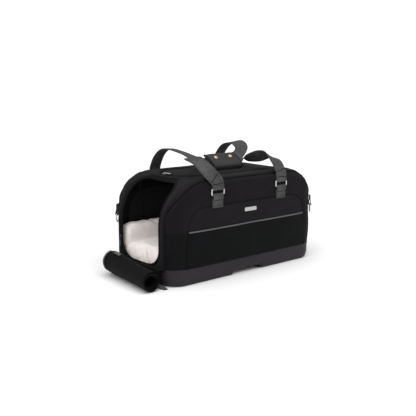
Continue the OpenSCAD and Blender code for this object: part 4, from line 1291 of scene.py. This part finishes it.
def bedPiece():
    made, path = bedBlank()
    remesh = made.modifiers.new("remesh", "REMESH")
    remesh.mode, remesh.voxel_size = "VOXEL", bed["voxel"]
    applyModifiers(made)
    before = points(made)
    near = np.array([np.min(np.hypot(path[:, 0] - p[0], path[:, 1] - p[1])) for p in before[:, :2]])
    pinned = made.vertex_groups.new(name="pinned")
    crease = np.exp(-((near - bed["reach"] - 0.001) / 0.0045) ** 2) * (before[:, 2] > 0.070)
    low = (before[:, 2] < bed["floor"] + 0.006)
    for i, w in enumerate(np.maximum(crease, low)):
        if w > 0.15:
            pinned.add([i], float(w), "REPLACE")
    cloth = made.modifiers.new("cloth", "CLOTH")
    for key, value in {"quality": 6, "mass": 0.3, "tension_stiffness": 12, "compression_stiffness": 12,
                       "bending_stiffness": 0.4, "use_pressure": True, "shrink_min": -0.035,
                       "uniform_pressure_force": bed["pressure"]}.items():
        setattr(cloth.settings, key, value)
    cloth.settings.vertex_group_mass = "pinned"
    cloth.settings.effector_weights.gravity = 0
    cloth.collision_settings.use_collision = False
    scene = bpy.context.scene
    for f in range(1, bed["frames"] + 1):
        scene.frame_set(f)
    applyModifiers(made)
    scene.frame_set(1)
    after = points(made)
    move = after - before
    far = np.linalg.norm(move, axis=1)  # no point moves further than the cap
    move *= np.minimum(1, bed["mostMove"] / np.maximum(far, 1e-9))[:, None]
    after = before + move
    # what rests on the boards stays flat, and nothing passes the lining
    after[:, 2] = np.clip(after[:, 2], bed["floor"], bed["bolster"])
    after[:, 0] = np.clip(after[:, 0], *bed["roomX"])
    after[:, 1] = np.clip(after[:, 1], -bed["roomY"], bed["roomY"])
    # gathers run in from the sewn crease
    pull = np.exp(-((near - bed["reach"]) / 0.012) ** 2) * (after[:, 2] > 0.076)
    around = np.arctan2(after[:, 1] * 2.1, after[:, 0])
    gather = 0.0011 * np.sin(around * 60 + 3 * np.sin(around * 7)) * pull
    after[:, 2] += gather - 0.0022 * np.exp(-((near - bed["reach"]) / 0.004) ** 2) * (after[:, 2] > 0.076)
    made.data.vertices.foreach_set("co", after.astype(np.float32).ravel())
    made.vertex_groups.clear()
    sub = made.modifiers.new("smooth", "SUBSURF")
    sub.levels = sub.render_levels = 1
    applyModifiers(made)
    made.data.shade_smooth()
    made.data.materials.clear()
    made.data.materials.append(plush)
    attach(made, "bag")
    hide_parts("bed_cushion")


bedPiece()
print("bed made")


# inside: boards and hoop sleeves

def finishNode(name, material):
    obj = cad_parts[name]
    obj.data.materials.clear()
    obj.data.materials.append(material)
    return obj


for name in ("floor_board", "side_board_near", "side_board_far"):
    finishNode(name, lining)
for x, label in ((-0.189, "front"), (0.189, "rear")):
    lo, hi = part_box(label + "_hoop")
    cx = (lo.x + hi.x) / 2
    hy, topZ, r, base = hi.y - 0.0008, hi.z - 0.0008, 0.014, lo.z
    line = [(cx, -hy, z) for z in np.linspace(base, topZ - r, 20)]
    quarter = np.linspace(0, math.pi / 2, 8)
    line += [(cx, -hy + r * (1 - math.cos(a)), topZ - r + r * math.sin(a)) for a in quarter[1:]]
    line += [(cx, y, topZ) for y in np.linspace(-hy + r, hy - r, 30)[1:-1]]
    line += [(cx, hy - r * (1 - math.sin(a)), topZ - r + r * math.cos(a)) for a in quarter]
    line += [(cx, hy, z) for z in np.linspace(topZ - r, base, 20)[1:]]
    tube(label + "HoopSleeve", line, 0.0075, lining, "bag", [label + "_hoop"], sides=12, flatten=0.3,
         upHint=(1, 0, 0))
print("inside made")


# corner rings

cornerRing = {"height": 0.168, "stand": 0.0065, "half": 0.016, "drop": 0.008, "wire": 0.0019, "loop": 0.0038,
              "tabWidth": 0.025, "tabThick": 0.0018}


def cornerPlace(side):
    n = math.sqrt(0.5)
    return (np.array([side * cornerX, -side * cornerY, 0.0]), np.array([side * n, -side * n, 0.0]),
            np.array([side * n, side * n, 0.0]))


def cornerPiece(side, label, bodyName):
    centre, out, wide = cornerPlace(side)
    r, w, z, drop = (cornerRing[key] for key in ("loop", "half", "height", "drop"))
    barOut, wallOut = body["planRadius"] + cornerRing["stand"], body["planRadius"] + 0.0040
    bar = centre + out * barOut + np.array([0, 0, z])

    def below(sideways, fall):
        return bar + wide * sideways + np.array([0, 0, -fall])
    path = [bar + wide * (w - 0.002) * k for k in (-1, -0.5, 0, 0.5, 1)]
    path += [below(w, 0.002), below(w, drop)]
    path += [below(w * math.cos(a), drop + w * math.sin(a)) for a in np.linspace(0, math.pi, 19)[1:-1]]
    path += [below(-w, drop), below(-w, 0.002)]
    tube(label + "CornerRing", path, cornerRing["wire"], silver, bodyName, ["d_ring_" + label],
         closed=True, sides=12, upHint=tuple(out))
    rows = [(wallOut, 0.1965), (wallOut, 0.184), (barOut - r, z + 0.004), (barOut - r, z)]
    rows += [(barOut - r * math.cos(a), z - r * math.sin(a)) for a in np.linspace(0, math.pi, 8)[1:-1]]
    rows += [(barOut + r, z), (barOut + r * 0.8, z + 0.005), (wallOut + 0.0030, 0.184), (wallOut + 0.0028, 0.1965)]
    path = smooth([centre + out * o + np.array([0, 0, h]) for o, h in rows], 3)
    ribbon(label + "CornerTab", path, np.tile(wide, (len(path), 1)), cornerRing["tabWidth"],
           cornerRing["tabThick"], webbing, "bag", ["d_tab_" + label])


cornerPiece(1, "rear", "d_ring_back")
cornerPiece(-1, "front", "d_ring_fore")
print("corner rings made")


# badge, pull tab, sliders and pulls

def roundedPlate(cx, cz, halfX, halfZ, r, inset=0.0, count=8):
    loop = []
    for sx, sz, start in ((1, 1, 0), (-1, 1, 90), (-1, -1, 180), (1, -1, 270)):
        angles = [math.radians(start + 90 * i / count) for i in range(count + 1)]
        loop += [(cx + sx * (halfX - r) + (r - inset) * math.cos(a),
                  cz + sz * (halfZ - r) + (r - inset) * math.sin(a)) for a in angles]
    return np.array(loop)


def badgePiece():
    lo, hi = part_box("badge")
    cx, cz = (lo.x + hi.x) / 2, (lo.z + hi.z) / 2
    hx, hz = (hi.x - lo.x) / 2, (hi.z - lo.z) / 2
    loops = []
    rim = [(0.0, -0.0004), (0.0, 0.0009), (0.0006, 0.0013), (0.0012, 0.0013), (0.0016, 0.0010), (0.0028, 0.0010)]
    for inset, out in rim:
        loop = roundedPlate(cx, cz, hx, hz, 0.003, inset)
        lift = pocketLift(loop[:, 0], loop[:, 1]) + out
        loops.append(sideSurface(loop[:, 0], loop[:, 1], -1, lift))
    layout = [(p[0], p[2]) for loop in loops for p in loop]
    addPiece("plainBadge", stacked(loops), loftFaces(len(loops), len(loops[0]), True, False, "fan"), satin, "bag",
             ["badge"], layout, sharp=35)


badgePiece()


def pullPiece(name, origin, along, across, up, bodyName, node):
    # flat pull with a slot at its pin end
    along, across, up, origin = (np.array(v, float) for v in (along, across, up, origin))
    outer, inner = [], []
    for i in range(48):
        a = 2 * math.pi * i / 48
        ca, sa = math.cos(a), math.sin(a)
        x = -0.0095 + 0.0130 * math.copysign(abs(ca) ** 0.55, ca)
        outer.append((x, 0.0040 * math.copysign(abs(sa) ** 0.5, sa) * (1.0 - 0.12 * (ca > 0))))
        inner.append((-0.0005 + 0.0045 * math.copysign(abs(ca) ** 0.7, ca),
                      0.0021 * math.copysign(abs(sa) ** 0.7, sa)))
    outer, inner = np.array(outer), np.array(inner)
    loops = []
    section = [(0.0, 0.0002), (0.06, 0.0), (0.94, 0.0), (1.0, 0.0004), (1.0, 0.0012), (0.94, 0.0016),
               (0.06, 0.0016), (0.0, 0.0014)]
    for t, h in section:
        flat = inner * (1 - t) + outer * t
        loops.append([origin + along * a + across * b + up * (0.0036 + h) for a, b in flat])
    layout = [(a, b) for loop in loops for a, b in outer]
    addPiece(name, stacked(loops), loftFaces(len(loops), 48, True, True),
             satin if bodyName == "top_pull" else darkMetal, bodyName, [node], layout, sharp=60)


pullPiece("roofPull", (-0.1795, 0.018, 0.2858), (0, 1, 0), (-1, 0, 0), (0, 0, 1), "top_pull", "top_zip_pull")
pullPiece("rearPull", (0.2856, 0.0915, 0.130), (0, 0, 1), (0, 1, 0), (1, 0, 0), "back_pull", "rear_zip_pull")
pullPiece("frontPull", (-0.2856, 0.0915, 0.102), (0, 0, 1), (0, 1, 0), (-1, 0, 0), "front_pull", "front_zip_pull")
for name in ("top_zip_slider", "rear_zip_slider", "front_zip_slider"):
    edge = finishNode(name, satin if name.startswith("top") else darkMetal).modifiers.new("softEdges", "BEVEL")
    edge.width, edge.segments, edge.limit_method = 0.0006, 3, "ANGLE"

lo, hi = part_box("roll_pull_tab")
tabX = (lo.x + hi.x) / 2
tabPath = smooth([(tabX - 0.002, hi.y + 0.026, 0.0090), (tabX - 0.002, hi.y + 0.012, 0.0070),
                  (tabX - 0.001, hi.y, 0.0040), (tabX, lo.y + 0.005, 0.0018), (tabX, lo.y, 0.0014)], 6)
ribbon("rollPullTab", tabPath, np.tile([1.0, 0, 0], (len(tabPath), 1)), 0.014, 0.0016, webbing,
       "front_door", ["roll_pull_tab"])
print("small parts made")


# floor, lights and camera

# name, energy, softness, lean from straight down, turn about the vertical
light = {"sky": 0.5, "seenSky": 1.1, "suns": [("overheadSun", 1.5, 70, 12, -20), ("frontSun", 0.9, 50, 50, -75),
                              ("sideSun", 0.5, 60, 55, 20)]}

view = {"lens": 58.67, "sensor": 36, "place": (-1.3267, -1.5255, 0.5466), "turn": (79.43, 0, -40.22),
        "floorHalf": 9, "paper": (0.93, 0.93, 0.93, 1)}


def stageScene():
    floorMesh = bpy.data.meshes.new("floor")
    h = view["floorHalf"]
    floorMesh.from_pydata([(-h, -h, 0), (h, -h, 0), (h, h, 0), (-h, h, 0)], [], [(0, 1, 2, 3)])
    floor = bpy.data.objects.new("floor", floorMesh)
    paper, tree, shader = newMaterial("palePaper", rough=0.9, specular=0.1)
    shader.inputs["Base Color"].default_value = view["paper"]
    floorMesh.materials.append(paper)
    bpy.context.scene.collection.objects.link(floor)
    world = bpy.data.worlds.new("softSky")
    bpy.context.scene.world = world
    world.use_nodes = True
    sky = world.node_tree
    seen = addNode(sky, "ShaderNodeLightPath").outputs["Is Camera Ray"]
    strength = addNode(sky, "ShaderNodeMapRange", {"Value": seen, "To Min": light["sky"], "To Max": light["seenSky"]})
    sky.nodes["Background"].inputs[0].default_value = (1, 1, 1, 1)
    sky.links.new(strength.outputs[0], sky.nodes["Background"].inputs[1])
    for name, energy, spreadAngle, tilt, turn in light["suns"]:
        lamp = bpy.data.lights.new(name, "SUN")
        lamp.energy, lamp.angle = energy, math.radians(spreadAngle)
        obj = bpy.data.objects.new(name, lamp)
        bpy.context.scene.collection.objects.link(obj)
        obj.rotation_euler = (math.radians(tilt), 0, math.radians(turn))
    eye = bpy.data.cameras.new("camera")
    eye.lens, eye.sensor_width = view["lens"], view["sensor"]
    camera = bpy.data.objects.new("camera", eye)
    camera.location = view["place"]
    camera.rotation_euler = [math.radians(a) for a in view["turn"]]
    bpy.context.scene.collection.objects.link(camera)
    bpy.context.scene.camera = camera
    bpy.context.scene.view_settings.view_transform = "Standard"


stageScene()
